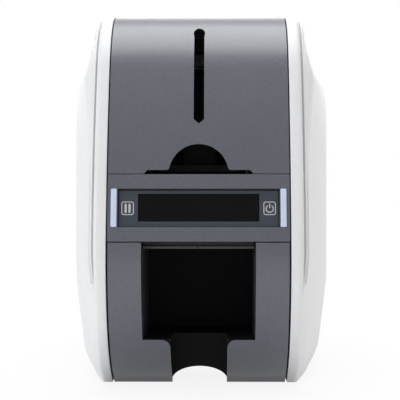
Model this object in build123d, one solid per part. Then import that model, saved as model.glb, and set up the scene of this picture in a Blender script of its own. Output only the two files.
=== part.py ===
from build123d import *
import math
import os

# Card printer, in millimetres. X is right, the front faces -Y, Z is up.
# Places along the printer are given as depth behind the foremost point.

WIDTH = 173.0
DEPTH = 368.0
HEIGHT = 224.0

# Side view of the casing: a slope off the ground, then arcs over the nose and the top to the back.
NOSE_R = 77.0
BROW_R = 361.8
CROWN_R = 63.4
REAR_R = 34.0
NOSE_START = 27.6
NOSE_TURN = 70.6
BROW_TURN = 16.4
CROWN_TURN = 66.5
REAR_TURN = 88.9
TOP_SLOPE = 1.1
REAR_CORNER_DEPTH = 334.65

# Wall thicknesses and gaps.
SKIN = 2.5
GAP = 0.4
RUN_GAP = 0.05
OVER = 1.0
GROUND_GAP = 0.8
BAND_INSET = 0.8
BAND_HALF = 51.6
RIM_IN = 52.3
RIM_OUT = 61.0
RIM_ROUND = 2.2

# White side covers: plan and front view of the belly, which draws in towards the ground.
BELLY_WIDEST_DEPTH = 225.0
BELLY_FRONT_DEPTH = 8.0
BELLY_REAR_HALF = 75.0
BELLY_INSET = 4.0
SHOULDER_DEPTH = 180.0
SHOULDER = [(0, 250), (62.9, 250), (75.5, 201), (WIDTH / 2, 182.3), (WIDTH / 2, -30), (0, -30)]
SHOULDER_MEET = (-800.0, 10.0, 110.3)
BELLY_DRAWS = [(60.0, 0.0), (14.0, 5.5), (0.0, 13.5)]
PLAN_MARGIN = 30.0
BOSS_R = 4.0
BOSS_PLACES = [(235, 178), (330, 182), (135, 25), (335, 30)]

# Card standard width and the two card paths.
CARD_WIDTH = 54.0
PATH_Z = 126.0
RETURN_Z = 84.0

# Heights and depths of the joints between the pieces of the grey band.
HOPPER_TOP = 86.3
BEZEL_LOW = 86.9
BEZEL_HIGH = 124.9
COVER_LOW = 125.3
COVER_BACK = 100.2
LID_FRONT = 102.4
LID_BACK = 339.0
LID_LOW = 190.0
REAR_FRONT = 341.0
REAR_LOW = 7.4
FLANGE = 14.0

# Hopper cover: level slot, thumb notch and manual card slot.
LEVEL_SLOT_HALF = 3.0
LEVEL_SLOT_HEAD_R = 3.4
LEVEL_SLOT_HIGH = 212.9
LEVEL_SLOT_LOW = 154.2
LEVEL_SLOT_TIP = 2.6
NOTCH_R = 17.0
NOTCH_FILLET = 2.0
CARD_SLOT_HALF = 30.8
CARD_SLOT_HIGH = 127.4
CARD_SLOT_BEVEL = 1.6

# Latch of the lid: a finger pad on a lip, and a stem with a hook under it.
LATCH_HALF = 9.0
LATCH_DEPTHS = (112.0, 128.0)
LATCH_TRAVEL = 4.0
LATCH_LIP = 3.0
LATCH_STEM_HALF = 7.0
LATCH_STEM_THICK = 3.0
LATCH_STEM_HEIGHTS = (199.0, 219.0)
LATCH_HOOK_LOW = 196.0
LATCH_HOOK_REACH = 1.5

# Control bezel: a shelf under the card slot, a sill over the bay and the panel's opening.
BEZEL_BACK = 24.0
BEZEL_TAB_FRONT = 20.0
SHELF_BACK = 28.0
SILL_BACK = 13.0
SHELF_THICK = 2.0

# Recessed panel of the bezel, on a plane that leans back with the casing.
PANEL_DEPTH = 4.9
PANEL_Z = 105.85
PANEL_LEAN = 10.6
PANEL_HALF = 45.8
PANEL_RISE = 11.1
PANEL_RECESS = 1.5
PANEL_THICK = 1.8
PANEL_BACK = -PANEL_RECESS - PANEL_THICK
PANEL_FIT = 0.1
PANEL_CUT = (-5.0, 8.0)
WINDOW_HALF = 34.4
WINDOW_RISE = 8.0
WINDOW_SHIFT = 0.4
PANE_THICK = 1.1
BUTTON_X = 40.2
BUTTON_HALF = 3.55
BUTTON_RISE = 4.0
BUTTON_ROUND = 1.2
BUTTON_FIT = 0.15
BUTTON_PROUD = 0.1
BUTTON_FLANGE = 1.0
BUTTON_TRAVEL = 0.6
BAR_IN = 46.3
BAR_OUT = 49.7
BAR_PROUD = 0.9
BAR_BACK = 4.5
BAR_ROUND = 0.5
MODULE_HALF = 35.4
MODULE_RISE = 9.5
MODULE_THICK = 4.0
PANEL_BOARD_HALF = 48.0
PANEL_BOARD_RISE = 12.5
SWITCH_HALF = 2.0

# Output hopper.
BAY_HALF = 32.4
SCOOP_HALF = 16.4
SCOOP_ROUND = 5.0
BAY_FLOOR = 30.0
LEG_HALF = 51.3
HOPPER_BACK = 102.0
TRAY_BACK = 108.5
TRAY_THICK = 2.0
BAY_WALL = 1.8
APRON_LOW = 1.3
APRON_FRONT = 62.0
ARCH_RISE = 8.6
TRAY_UNDER = 10.4
BRACE_THICK = 4.0
LIP_HALF = 31.9
LIP_DEPTHS = (9.0, 22.0)
LIP_HEIGHTS = (82.6, 84.2)
LIP_RISER = 13.0
LIP_NOTCH = 1.6

# Chassis.
PLATE_IN = 38.0
PLATE_OUT = 39.5
PLATE_OUTLINE = [
    (17, 88.5), (17, 121.5), (30, 121.5), (58, 190), (84, 214), (104, 214), (112, 196), (140, 190),
    (300, 190), (322, 211), (343, 211), (350, 190), (350, 7), (112, 7), (112, 88.5),
]
PLATE_FLANGE_OUT = 49.0
PLATE_FLANGE_THICK = 1.5
PLATE_FLANGE_DEPTHS = (150.0, 330.0)
SCREW_TAB_DEPTHS = (348.0, 350.0)
SCREW_TAB_RISE = 6.0
TIE_R = 4.0
TIE_PLACES = [(120, 30), (200, 40), (344, 60), (344, 170), (22, 100)]
BASE_LOW = 5.0
BASE_THICK = 2.0
BASE_HALF = 57.5
BASE_DEPTHS = (114.0, 360.0)
BASE_EDGE = 1.5
BASE_EDGE_HIGH = 17.0
FOOT_R = 8.0
FOOT_ROUND = 1.0
FOOT_X = 42.0
FOOT_DEPTHS = (128.0, 346.0)

# Hinges of the hopper cover and of the lid, on the two bridges between the side plates.
HINGE_R = 2.6
PIN_R = 1.4
COVER_AXIS = (98.2, 220.2)
LID_AXIS = (337.0, 215.4)
EAR_IN = 33.0
EAR_OUT = 37.8
LUG_OUT = 43.0
PIN_SET = 0.5
FRONT_BRIDGE = (90.0, 102.0, 203.0, 211.0)
REAR_BRIDGE = (330.0, 342.0, 200.0, 208.0)
BRIDGE_WALL = 3.0
CATCH_HALF = 10.0
CATCH_BACK = 109.0
CATCH_THICK = 2.0

# Rollers: depth and height of each shaft and the half length of its tyre.
ROLLER_R = 8.0
SHAFT_R = 3.0
ROLLER_Z = PATH_Z - ROLLER_R
ROLLERS = {
    "pick": (76.0, ROLLER_Z, 12.0),
    "feed": (128.0, ROLLER_Z, 20.0),
    "transport": (172.0, ROLLER_Z, 20.0),
    "platen": (216.0, ROLLER_Z, 28.0),
    "rear": (264.0, ROLLER_Z, 20.0),
    "exit": (128.0, RETURN_Z - ROLLER_R, 20.0),
}
BELT_ROLLERS = ("pick", "feed", "transport", "platen", "rear")
GEAR_ROLLERS = ("feed", "exit")
ROLLER_DROP = 0.1
SHAFT_END = 0.5
SHAFT_STICKS_OUT = 2.5
PINCH_R = 6.0
PINCH_HALF = 20.0
PINCH_SHAFT_R = 2.0
PINCH_LIFT = 0.9
PINCHES = {"feed": (128.0, PATH_Z), "exit": (128.0, RETURN_Z)}
STUB = 1.5
CLEANER = (150.0, 134.4)
CLEANER_R = 7.5
CLEANER_HALF = 28.0

# Card guides, magazine and weight, measured from the card path.
GUIDE_SPANS = {"upper": (40.0, 272.0), "lower": (113.0, 272.0)}
GUIDE_DROP = (-1.8, -0.4)
GUIDE_WINDOW = 1.0
MAGAZINE_DEPTHS = (40.0, 119.0)
MAGAZINE_TOP = 190.0
MAGAZINE_WALL = 2.0
MAGAZINE_PLAY = 0.4
MAGAZINE_GATE = 1.1
MAGAZINE_CUT = [(30, 160), (30, 200), (60, 200)]
MAGAZINE_TAB_DEPTHS = [(44.0, 56.0), (100.0, 119.0)]
MAGAZINE_TAB_HEIGHTS = (150.0, 153.0)
WEIGHT_HALF = 25.0
WEIGHT_DEPTHS = (48.0, 108.0)
WEIGHT_HEIGHTS = (0.9, 5.0)
WEIGHT_ROUND = 4.0
GRIP_HALF = 10.0
GRIP_DEPTHS = (70.0, 74.0)
GRIP_HIGH = 20.0

# Belt drive outside the left side plate.
PULLEY_IN = 40.5
PULLEY_OUT = 45.0
PULLEY_R = 8.0
BELT_CLEAR = 0.35
BELT_THICK = 1.2
BELT_SIDE_GAP = 0.3
MOTOR_PLACE = (196.0, 82.0)
MOTOR_PULLEY_R = 6.0
MOTOR_R = 18.0
MOTOR_FACE = 53.5
MOTOR_LENGTH = 24.0
MOTOR_BOSS = 1.5
MOTOR_STAND_HALF = 5.0
MOTOR_STAND_REACH = 8.0
MOTOR_STAND_DROP = (-2.0, 1.0)
MOTOR_SHAFT_IN = 10.0
SMALL_MOTOR_R = 12.0
SMALL_MOTOR_LENGTH = 20.0
HALF_TURN = 180.0

# Gears: involute teeth, cut short and thinned so that they run freely.
PRESSURE_ANGLE = 20.0
TOOTH_TIP = 0.8
TOOTH_ROOT = 1.15
TOOTH_PLAY = 0.3
FLANK_POINTS = 5
EXIT_MODULE = 1.5
EXIT_TEETH = 28
EXIT_GEAR_IN = 46.0
EXIT_GEAR_OUT = 50.0
FINE_MODULE = 1.0
TAKEUP = (172.0, 165.0)
SUPPLY = (262.0, 163.0)
TAKEUP_TEETH = 24
PINION_TEETH = 16
RIBBON_PINION = (152.0, 165.0)
RIBBON_GEAR_IN = 34.0
RIBBON_GEAR_OUT = 37.0
TURNER = (318.0, 105.0)
TURNER_TEETH = 40
TURNER_PINION = (290.0, 105.0)
TURNER_GEAR_IN = 41.0
TURNER_GEAR_OUT = 45.0

# Ribbon: two rolls, the film that runs under the print head and the cassette.
TAKEUP_R = 12.0
SUPPLY_R = 18.0
SPOOL_HALF = 30.0
SPOOL_SHAFT_R = 4.0
SPOOL_STUB = 0.8
FILM_THICK = 0.3
FILM_SIDE_GAP = 1.0
FILM_LIFT = 0.8
FILM_Z = 127.5
FILM_DEPTHS = (196.0, 236.0)
CHEEK_IN = 31.0
CHEEK_OUT = 33.0
CHEEK_OUTLINE = [
    (160, 150), (160, 180), (190, 186), (246, 186), (282, 184), (282, 143), (246, 143), (232, 170),
    (200, 170), (188, 150),
]
CASSETTE_BARS = [(156.0, 160.0), (282.0, 286.0)]
CASSETTE_BAR_HEIGHTS = (150.0, 154.0)
CASSETTE_REST = (276.0, 281.0, 146.0, 150.0)

# Print head, carried by the lid.
HEAD_DEPTHS = (207.0, 225.0)
HEAD_HEIGHTS = (128.4, 135.0)
HEAD_HALF = 30.0
HEAD_CHAMFER = 2.0
BRACKET_DEPTHS = (210.0, 222.0)
BRACKET_HALF = 28.0
BRACKET_WALL = 4.0
BRACKET_WINDOW = (150.0, 212.0)
SINK_HALF = 24.0
SINK_BACK = 233.0
SINK_HEIGHTS = (140.0, 150.0)
SINK_BASE = 3.0
FIN_PITCH = 4
FIN_GAP_HALF = 1.0

# Card turner: a cradle that swings half a turn about its shaft.
TURNER_HALF = 38.0
TURNER_RISE = 24.0
TURNER_CHEEK_IN = 29.0
TURNER_CHEEK_OUT = 32.0
TURNER_HUB_R = 7.0
TURNER_SHEETS = [(19.2, 20.6), (22.6, 24.0)]

# Electronics.
BOARD_X = 43.5
BOARD_THICK = 1.6
BOARD_DEPTHS = (150.0, 345.0)
BOARD_HEIGHTS = (38.0, 112.0)
BOARD_POST_R = 3.0
BOARD_POSTS = [(160, 46), (335, 46), (160, 104), (335, 104)]
CHIP = (220.0, 248.0, 60.0, 88.0)
CHIP_THICK = 2.4
CAPACITOR_R = 5.0
CAPACITOR_LENGTH = 12.4
CAPACITOR_Z = 92.0
CAPACITOR_DEPTHS = (180, 194, 282, 296)
FAN_HALF = 20.0
FAN_BORE = 18.5
FAN_Z = 173.0
FAN_DEPTHS = (352.5, 362.5)
FAN_HUB_R = 8.0
FAN_SPOKE = 2.0
FAN_PIN_R = 1.5
FAN_PIN_LENGTH = 8.0
FAN_BLADES = 7
FAN_BLADE = (10.4, 8.0, 1.0)
FAN_BLADE_OUT = 12.2
FAN_BLADE_PITCH = 35.0
FAN_LEDGE = (38.0, 10.0, 350.0)
VENT_HALF = 15.0
VENT_RISE = 1.2
VENT_ROWS = 7
VENT_PITCH = 5.0
PORT_SIDES = (40.1, 48.5)
PORT_HEIGHTS = {"power_inlet": (40.0, 52.0), "usb_port": (56.0, 68.0), "network_port": (72.0, 88.0)}
PORT_FRONT = 350.2
PORT_MOUTH = 356.0
POWER_WALL = 1.6
DATA_WALL = 1.0
LOCK_SLOT = (-40.0, -33.0, 28.0, 31.0)
REAR_CUT = 12.0
REAR_SCREWS = [(x, z) for x in (-46.5, 46.5) for z in (13.0, 100.0, 160.0)]
SCREW_R = 1.5
SCREW_HOLE_R = 1.6
SCREW_HEAD_R = 3.0
SCREW_HEAD_HIGH = 1.4
SCREW_SEAT_R = 3.2
SCREW_SEAT = 1.5


# ---- shapes that the sub-parts share ----

def y_at(depth):
    """Y of a place given as its depth behind the foremost point."""
    return depth - DEPTH / 2


def block(x0, x1, d0, d1, z0, z1):
    """Box between two X, two depths and two heights."""
    centre = Pos((x0 + x1) / 2, y_at((d0 + d1) / 2), (z0 + z1) / 2)
    return centre * Box(abs(x1 - x0), d1 - d0, z1 - z0)


def both_sides(x0, x1, d0, d1, z0, z1):
    """The same box on the right and on the left."""
    return block(x0, x1, d0, d1, z0, z1) + block(-x1, -x0, d0, d1, z0, z1)


def rod(x0, x1, depth, z, radius):
    """Round bar along X."""
    centre = Pos((x0 + x1) / 2, y_at(depth), z)
    return centre * Rot(0, 90, 0) * Cylinder(radius, abs(x1 - x0))


def peg(x, z, d0, d1, radius):
    """Round bar along the printer's depth."""
    centre = Pos(x, y_at((d0 + d1) / 2), z)
    return centre * Rot(90, 0, 0) * Cylinder(radius, d1 - d0)


def side_slab(points, x0, x1):
    """Plate between two X with an outline of depths and heights."""
    corners = [(y_at(depth), z) for depth, z in points]
    face = Plane.YZ * make_face(Polyline(*corners, close=True))
    return Pos(min(x0, x1), 0, 0) * extrude(face, amount=abs(x1 - x0))


def through_front(face, back):
    """Cutter with an outline in the front view that runs from a depth out past the front."""
    return Pos(0, y_at(back), 0) * extrude(Plane.XZ * face, amount=back + OVER)


def casing(half, inset=0.0):
    """Solid block with the casing's side view, drawn in by inset, half to each side."""
    slope = math.radians(TOP_SLOPE)
    start = math.radians(NOSE_START)
    reach = NOSE_R - inset
    foot = (y_at(NOSE_R - reach * math.sin(start)), NOSE_R - reach * math.cos(start))
    ground = (foot[0] + (foot[1] - inset) / math.tan(start), inset)
    nose = JernArc(foot, (-math.cos(start), math.sin(start)), reach, -NOSE_TURN)
    brow = JernArc(nose @ 1, nose % 1, BROW_R - inset, -BROW_TURN)
    crown = JernArc(brow @ 1, brow % 1, CROWN_R - inset, -CROWN_TURN)
    run = (y_at(REAR_CORNER_DEPTH) - (crown @ 1).X) / math.cos(slope)
    top = Line(crown @ 1, crown @ 1 + (crown % 1) * (run - inset * math.sin(slope)))
    corner = JernArc(top @ 1, top % 1, REAR_R - inset, -REAR_TURN)
    back = Polyline(corner @ 1, ((corner @ 1).X, inset), ground, foot)
    face = Plane.YZ * make_face(nose + brow + crown + top + corner + back)
    return extrude(face, amount=half, both=True)


def casing_layer(half, outer, inner, depths, heights):
    """Layer of the casing between two insets, within two depths and two heights."""
    layer = casing(half, outer) - casing(half + OVER, inner)
    return layer & block(-half, half, *depths, *heights)


def gear(teeth, module, length, bore, turn=0.0):
    """Spur gear along X about the origin, its first tooth turned by turn degrees."""
    pitch_r = teeth * module / 2
    base_r = pitch_r * math.cos(math.radians(PRESSURE_ANGLE))
    tip_r = pitch_r + TOOTH_TIP * module
    root_r = pitch_r - TOOTH_ROOT * module
    half_tooth = (math.pi * module / 2 - TOOTH_PLAY) / (2 * pitch_r)
    lowest = max(base_r, root_r)

    def flank_angle(radius):
        roll = math.acos(min(1.0, base_r / radius))
        pitch_roll = math.radians(PRESSURE_ANGLE)
        return half_tooth + (math.tan(pitch_roll) - pitch_roll) - (math.tan(roll) - roll)

    steps = [lowest + (tip_r - lowest) * i / (FLANK_POINTS - 1) for i in range(FLANK_POINTS)]
    flank = [(r, flank_angle(r)) for r in steps]
    if root_r < lowest:
        flank.insert(0, (root_r, flank_angle(lowest)))
    points = []
    for tooth in range(teeth):
        middle = 2 * math.pi * tooth / teeth + math.radians(turn)
        sides = [(r, middle - a) for r, a in flank] + [(r, middle + a) for r, a in reversed(flank)]
        points += [(r * math.cos(a), r * math.sin(a)) for r, a in sides]
    face = Plane.YZ * make_face(Polyline(*points, close=True))
    blank = extrude(face, amount=length)
    return blank - Pos(length / 2, 0, 0) * Rot(0, 90, 0) * Cylinder(bore, length + OVER)


def placed_gear(teeth, module, x0, x1, place, bore, turn=0.0):
    """Spur gear between two X on the axis at a depth and a height."""
    return Pos(x0, y_at(place[0]), place[1]) * gear(teeth, module, x1 - x0, bore, turn)


def panel_plane(out=0.0):
    """Plane of the control panel, moved out along its normal; local Y runs up the panel."""
    lean = math.radians(PANEL_LEAN)
    normal = Vector(0, -math.cos(lean), math.sin(lean))
    origin = Vector(0, y_at(PANEL_DEPTH), PANEL_Z) + normal * out
    return Plane(origin=origin, x_dir=(1, 0, 0), z_dir=normal)


def panel_block(x0, x1, v0, v1, n0, n1):
    """Box on the control panel's plane, from n0 to n1 along its outward normal."""
    centre = Pos((x0 + x1) / 2, (v0 + v1) / 2, (n0 + n1) / 2)
    return panel_plane() * centre * Box(x1 - x0, v1 - v0, n1 - n0)


def panel_key(x, half, rise, n0, n1):
    """Block with rounded corners on the control panel's plane."""
    face = Pos(x, 0, n0) * RectangleRounded(2 * half, 2 * rise, BUTTON_ROUND)
    return panel_plane() * extrude(face, amount=n1 - n0)


def window_block(n0, n1):
    """Block of the display window's outline, from n0 to n1 along the panel's normal."""
    low, high = WINDOW_SHIFT - WINDOW_RISE, WINDOW_SHIFT + WINDOW_RISE
    return panel_block(-WINDOW_HALF, WINDOW_HALF, low, high, n0, n1)


# ---- white side covers ----

def belly_plan(draw):
    """Plan view of the right belly: two shallow arcs that meet at its widest depth, drawn in."""
    def half_width(depth, end_half, end_depth):
        drop, run = WIDTH / 2 - end_half, end_depth - BELLY_WIDEST_DEPTH
        radius = (drop ** 2 + run ** 2) / (2 * drop)
        across = math.sqrt((radius - draw) ** 2 - (depth - BELLY_WIDEST_DEPTH) ** 2)
        return WIDTH / 2 - radius + across

    def arc(first, last, *end):
        return ThreePointArc(*[(half_width(d, *end), y_at(d)) for d in (first, (first + last) / 2, last)])

    front, back = -PLAN_MARGIN, DEPTH + PLAN_MARGIN
    before = arc(front, BELLY_WIDEST_DEPTH, RIM_OUT, BELLY_FRONT_DEPTH)
    behind = arc(BELLY_WIDEST_DEPTH, back, BELLY_REAR_HALF, DEPTH)
    inner = Polyline(behind @ 1, (-PLAN_MARGIN, y_at(back)), (-PLAN_MARGIN, y_at(front)), before @ 0)
    return make_face(before + behind + inner)


def belly_body(shrink):
    """Upright part of the belly over the drafted parts that draw in towards the ground."""
    high = BELLY_DRAWS[0][0]
    body = Pos(0, 0, high) * extrude(belly_plan(shrink), amount=HEIGHT)
    for (top, draw), (low, next_draw) in zip(BELLY_DRAWS, BELLY_DRAWS[1:]):
        draft = math.degrees(math.atan((next_draw - draw) / (top - low)))
        face = Pos(0, 0, top) * belly_plan(shrink + draw)
        body += extrude(face, amount=top - low, dir=(0, 0, -1), taper=draft)
    return body


def belly_front():
    """Front view of the right belly: from its widest section the sides draw together forward."""
    meet_depth, meet_x, meet_z = SHOULDER_MEET
    share = meet_depth / (meet_depth - SHOULDER_DEPTH)
    meet = Vector(meet_x, y_at(meet_depth), meet_z)
    far = [Vector(x, y_at(SHOULDER_DEPTH), z) for x, z in SHOULDER]
    near = [meet + (corner - meet) * share for corner in far]
    sides = list(zip(near, near[1:] + near[:1], far[1:] + far[:1], far))
    walls = [Face(Wire.make_polygon(corners)) for corners in sides + [near, far]]
    return Solid(Shell(walls)) + extrude(walls[-1], amount=DEPTH - SHOULDER_DEPTH, dir=(0, 1, 0))


def belly(shrink=0.0):
    """Belly of the right cover as a solid."""
    front = Pos(-shrink, 0, -shrink / 2) * belly_front()
    return casing(WIDTH, BELLY_INSET + shrink) & belly_body(shrink) & front


def right_cover():
    """Thin shell: the rim that follows the arch, the belly beside it and the screw bosses."""
    rim = casing(RIM_OUT)
    edges = [e for e in rim.edges() if e.center().X > RIM_OUT - GAP and e.center().Z > SKIN]
    rim = fillet(edges, RIM_ROUND)
    outer = (rim + belly()) & block(RIM_IN, WIDTH, -OVER, DEPTH + OVER, GROUND_GAP, HEIGHT + OVER)
    hollow = casing(RIM_OUT - SKIN, SKIN) + belly(SKIN)
    hollow &= block(0, WIDTH, 0, DEPTH, GROUND_GAP + SKIN, HEIGHT)
    shell = outer - hollow
    for depth, z in BOSS_PLACES:
        near = block(PLATE_OUT, RIM_IN + OVER, depth - BOSS_R, depth + BOSS_R, z - BOSS_R, z + BOSS_R)
        shell += rod(PLATE_OUT, WIDTH / 2, depth, z, BOSS_R) & (outer + near)
    return shell


# ---- grey band ----

def band_shell(depths, heights, flange=None):
    """Part of the grey band: its skin within two depths and heights, with side flanges."""
    zone = block(-BAND_HALF, BAND_HALF, *depths, *heights)
    shell = (casing(BAND_HALF, BAND_INSET) & zone) - casing(BAND_HALF - SKIN, BAND_INSET + SKIN)
    if flange:
        shell -= casing(BAND_HALF + OVER, BAND_INSET + flange)
    return shell


def level_slot():
    """Cutter for the slot that shows how many cards are left: round head, pointed foot."""
    side = LEVEL_SLOT_HALF
    tip = LEVEL_SLOT_LOW + LEVEL_SLOT_TIP
    head_z = LEVEL_SLOT_HIGH - LEVEL_SLOT_HEAD_R
    outline = [(-side, head_z), (-side, tip), (0, LEVEL_SLOT_LOW), (side, tip), (side, head_z)]
    face = make_face(Polyline(*outline, close=True)) + Pos(0, head_z) * Circle(LEVEL_SLOT_HEAD_R)
    return through_front(face, COVER_BACK)


def notch_cutter():
    """Cutter for the thumb notch and the manual card slot under it."""
    low = COVER_LOW - OVER
    slot = CARD_SLOT_HALF
    bevel = slot - CARD_SLOT_BEVEL
    face = make_face(Polyline((-slot, low), (-slot, COVER_LOW + GAP), (-bevel, CARD_SLOT_HIGH),
                              (bevel, CARD_SLOT_HIGH), (slot, COVER_LOW + GAP), (slot, low), close=True))
    face += Pos(0, COVER_LOW) * Circle(NOTCH_R)
    inner = [v for v in face.vertices() if abs(v.Y - CARD_SLOT_HIGH) < GAP and abs(v.X) < NOTCH_R + OVER]
    return through_front(fillet(inner, NOTCH_FILLET), COVER_BACK / 2)


def hinge_lugs(axis):
    """Pair of lugs with pin holes that hang from the skin in front of a hinge axis."""
    depth, z = axis
    lugs = Part()
    for x0, x1 in ((EAR_OUT + GAP, LUG_OUT), (-LUG_OUT, -EAR_OUT - GAP)):
        web = block(x0, x1, depth - 2 * HINGE_R, depth, z - HINGE_R, z + HINGE_R / 2)
        lugs += rod(x0, x1, depth, z, HINGE_R) + web
    return lugs


def hinge_holes(axis):
    """Cutters for the pin holes and for the gaps that the fixed ears stand in."""
    depth, z = axis
    room = HINGE_R + GAP
    gaps = both_sides(EAR_IN - GAP, EAR_OUT + GAP, depth - room, depth + room, z - room, HEIGHT)
    return gaps + rod(-LUG_OUT - OVER, LUG_OUT + OVER, depth, z, PIN_R + RUN_GAP)


def hopper_cover():
    """Arched cover over the card stack."""
    shell = band_shell((0, COVER_BACK), (COVER_LOW, HEIGHT), FLANGE)
    shell -= level_slot() + notch_cutter()
    return shell + hinge_lugs(COVER_AXIS) - hinge_holes(COVER_AXIS)


def top_cover():
    """Lid behind the hopper cover, with the opening for its latch."""
    shell = band_shell((LID_FRONT, LID_BACK), (LID_LOW, HEIGHT), FLANGE)
    shell -= block(-LATCH_HALF, LATCH_HALF, *LATCH_DEPTHS, LID_LOW, HEIGHT + OVER)
    return shell + hinge_lugs(LID_AXIS) - hinge_holes(LID_AXIS)


def lid_latch():
    """Finger slide with a hook that reaches down to the hinge bridge."""
    front, back = LATCH_DEPTHS[0], LATCH_DEPTHS[1] - LATCH_TRAVEL
    skin_low = BAND_INSET + SKIN
    heights = (LID_LOW, HEIGHT)
    pad = casing_layer(LATCH_HALF - GAP, BAND_INSET + GAP, skin_low, (front + GAP, back - GAP), heights)
    lip = casing_layer(LATCH_HALF + LATCH_LIP, skin_low + GAP, BAND_INSET + 2 * SKIN,
                       (front - LATCH_LIP + OVER, back), heights)
    joiner = casing_layer(LATCH_HALF - OVER, skin_low - GAP, skin_low + OVER,
                          (front + OVER, back - OVER), heights)
    half = LATCH_STEM_HALF
    stem_back = front + LATCH_STEM_THICK
    stem = block(-half, half, front, stem_back, *LATCH_STEM_HEIGHTS)
    hook = block(-half, half, front - LATCH_HOOK_REACH, stem_back, LATCH_HOOK_LOW, LATCH_STEM_HEIGHTS[0])
    return pad + lip + joiner + stem + hook


def rear_panel():
    """Back of the band with openings for the connectors, the fan and the screws."""
    shell = band_shell((REAR_FRONT, DEPTH), (REAR_LOW, HEIGHT))
    cut = (DEPTH - REAR_CUT, DEPTH)
    for z0, z1 in PORT_HEIGHTS.values():
        shell -= block(PORT_SIDES[0] - GAP, PORT_SIDES[1] + GAP, *cut, z0, z1)
    for row in range(VENT_ROWS):
        z = FAN_Z + (row - (VENT_ROWS - 1) / 2) * VENT_PITCH
        shell -= block(-VENT_HALF, VENT_HALF, *cut, z - VENT_RISE, z + VENT_RISE)
    shell -= block(*LOCK_SLOT[:2], *cut, *LOCK_SLOT[2:])
    for x, z in REAR_SCREWS:
        shell -= peg(x, z, *cut, SCREW_HOLE_R)
        shell -= peg(x, z, DEPTH - BAND_INSET - SCREW_SEAT, DEPTH, SCREW_SEAT_R)
    return shell


def control_bezel():
    """Frame round the control panel, with a shelf under the manual card slot."""
    shell = band_shell((0, BEZEL_BACK), (BEZEL_LOW, BEZEL_HIGH))
    inner = casing(BAND_HALF - SKIN / 2, BAND_INSET + SKIN / 2)
    shelf = block(-BAND_HALF, BAND_HALF, 0, SHELF_BACK, BEZEL_HIGH - SHELF_THICK, BEZEL_HIGH)
    sill = block(-BAND_HALF, BAND_HALF, 0, SILL_BACK, BEZEL_LOW, BEZEL_LOW + SHELF_THICK)
    shell += inner & (shelf + sill)
    shell += both_sides(PLATE_OUT, BAND_HALF - OVER, BEZEL_TAB_FRONT, BEZEL_BACK, BEZEL_LOW, BEZEL_HIGH)
    shell -= panel_block(-PANEL_HALF, PANEL_HALF, -PANEL_RISE, PANEL_RISE, *PANEL_CUT)
    for side in (-1, 1):
        x0, x1 = sorted((side * (BAR_IN - PANEL_FIT), side * (BAR_OUT + PANEL_FIT)))
        shell -= panel_block(x0, x1, -PANEL_RISE, PANEL_RISE, PANEL_CUT[0] - OVER, PANEL_CUT[1])
    return shell


def light_bar(side):
    """Light guide at one end of the panel, standing proud of the bezel."""
    x0, x1 = sorted((side * BAR_IN, side * BAR_OUT))
    rise = PANEL_RISE - PANEL_FIT
    bar = panel_block(x0, x1, -rise, rise, -BAR_BACK, BAR_PROUD)
    front = bar.faces().sort_by(Axis.Y)[0]
    return fillet(front.edges(), BAR_ROUND)


def display_panel():
    """Recessed plate with the window opening and the two button holes."""
    half, rise = PANEL_HALF - PANEL_FIT, PANEL_RISE - PANEL_FIT
    cut = (PANEL_BACK - OVER, OVER)
    plate = panel_block(-half, half, -rise, rise, PANEL_BACK, -PANEL_RECESS)
    plate -= window_block(*cut)
    for x in (-BUTTON_X, BUTTON_X):
        plate -= panel_key(x, BUTTON_HALF + BUTTON_FIT, BUTTON_RISE + BUTTON_FIT, *cut)
    return plate


def display_window():
    """Clear pane in the panel's opening."""
    front = -PANEL_RECESS - PANEL_FIT
    return window_block(front - PANE_THICK, front)


def button(x):
    """Key cap with a flange that keeps it behind the panel."""
    seat = PANEL_BACK - 2 * BUTTON_PROUD
    cap = panel_key(x, BUTTON_HALF, BUTTON_RISE, seat, -PANEL_RECESS + BUTTON_PROUD)
    half = min(BUTTON_HALF + BUTTON_FLANGE, abs(x) - WINDOW_HALF - OVER, PANEL_HALF - abs(x) - GAP)
    flange = panel_key(x, half, BUTTON_RISE + BUTTON_FLANGE, seat - BUTTON_FLANGE, seat)
    return cap + flange


def display_module():
    """Liquid crystal glass in its metal frame, against the back of the panel."""
    back = PANEL_BACK - MODULE_THICK
    frame = panel_block(-MODULE_HALF, MODULE_HALF, -MODULE_RISE, MODULE_RISE, back, PANEL_BACK)
    return frame - window_block(back + MODULE_THICK / 2, OVER)


def panel_board():
    """Circuit board behind the display, with the two key switches under the caps."""
    front = PANEL_BACK - MODULE_THICK
    half, rise, switch = PANEL_BOARD_HALF, PANEL_BOARD_RISE, SWITCH_HALF
    board = panel_block(-half, half, -rise, rise, front - BOARD_THICK, front)
    switch_top = PANEL_BACK - 2 * BUTTON_PROUD - BUTTON_FLANGE - BUTTON_TRAVEL - PANEL_FIT
    for x in (-BUTTON_X, BUTTON_X):
        board += panel_block(x - switch, x + switch, -switch, switch, front, switch_top)
    return board


# ---- output hopper ----

def bay_opening():
    """T-shaped cutter: the wide card bay over the narrow finger scoop."""
    high = HOPPER_TOP + OVER
    outline = [(-BAY_HALF, high), (-BAY_HALF, BAY_FLOOR), (-SCOOP_HALF, BAY_FLOOR), (-SCOOP_HALF, 0),
               (SCOOP_HALF, 0), (SCOOP_HALF, BAY_FLOOR), (BAY_HALF, BAY_FLOOR), (BAY_HALF, high)]
    face = make_face(Polyline(*outline, close=True))
    shoulder = [v for v in face.vertices() if abs(abs(v.X) - SCOOP_HALF) < GAP and v.Y > OVER]
    return through_front(fillet(shoulder, SCOOP_ROUND), DEPTH / 2)


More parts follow.
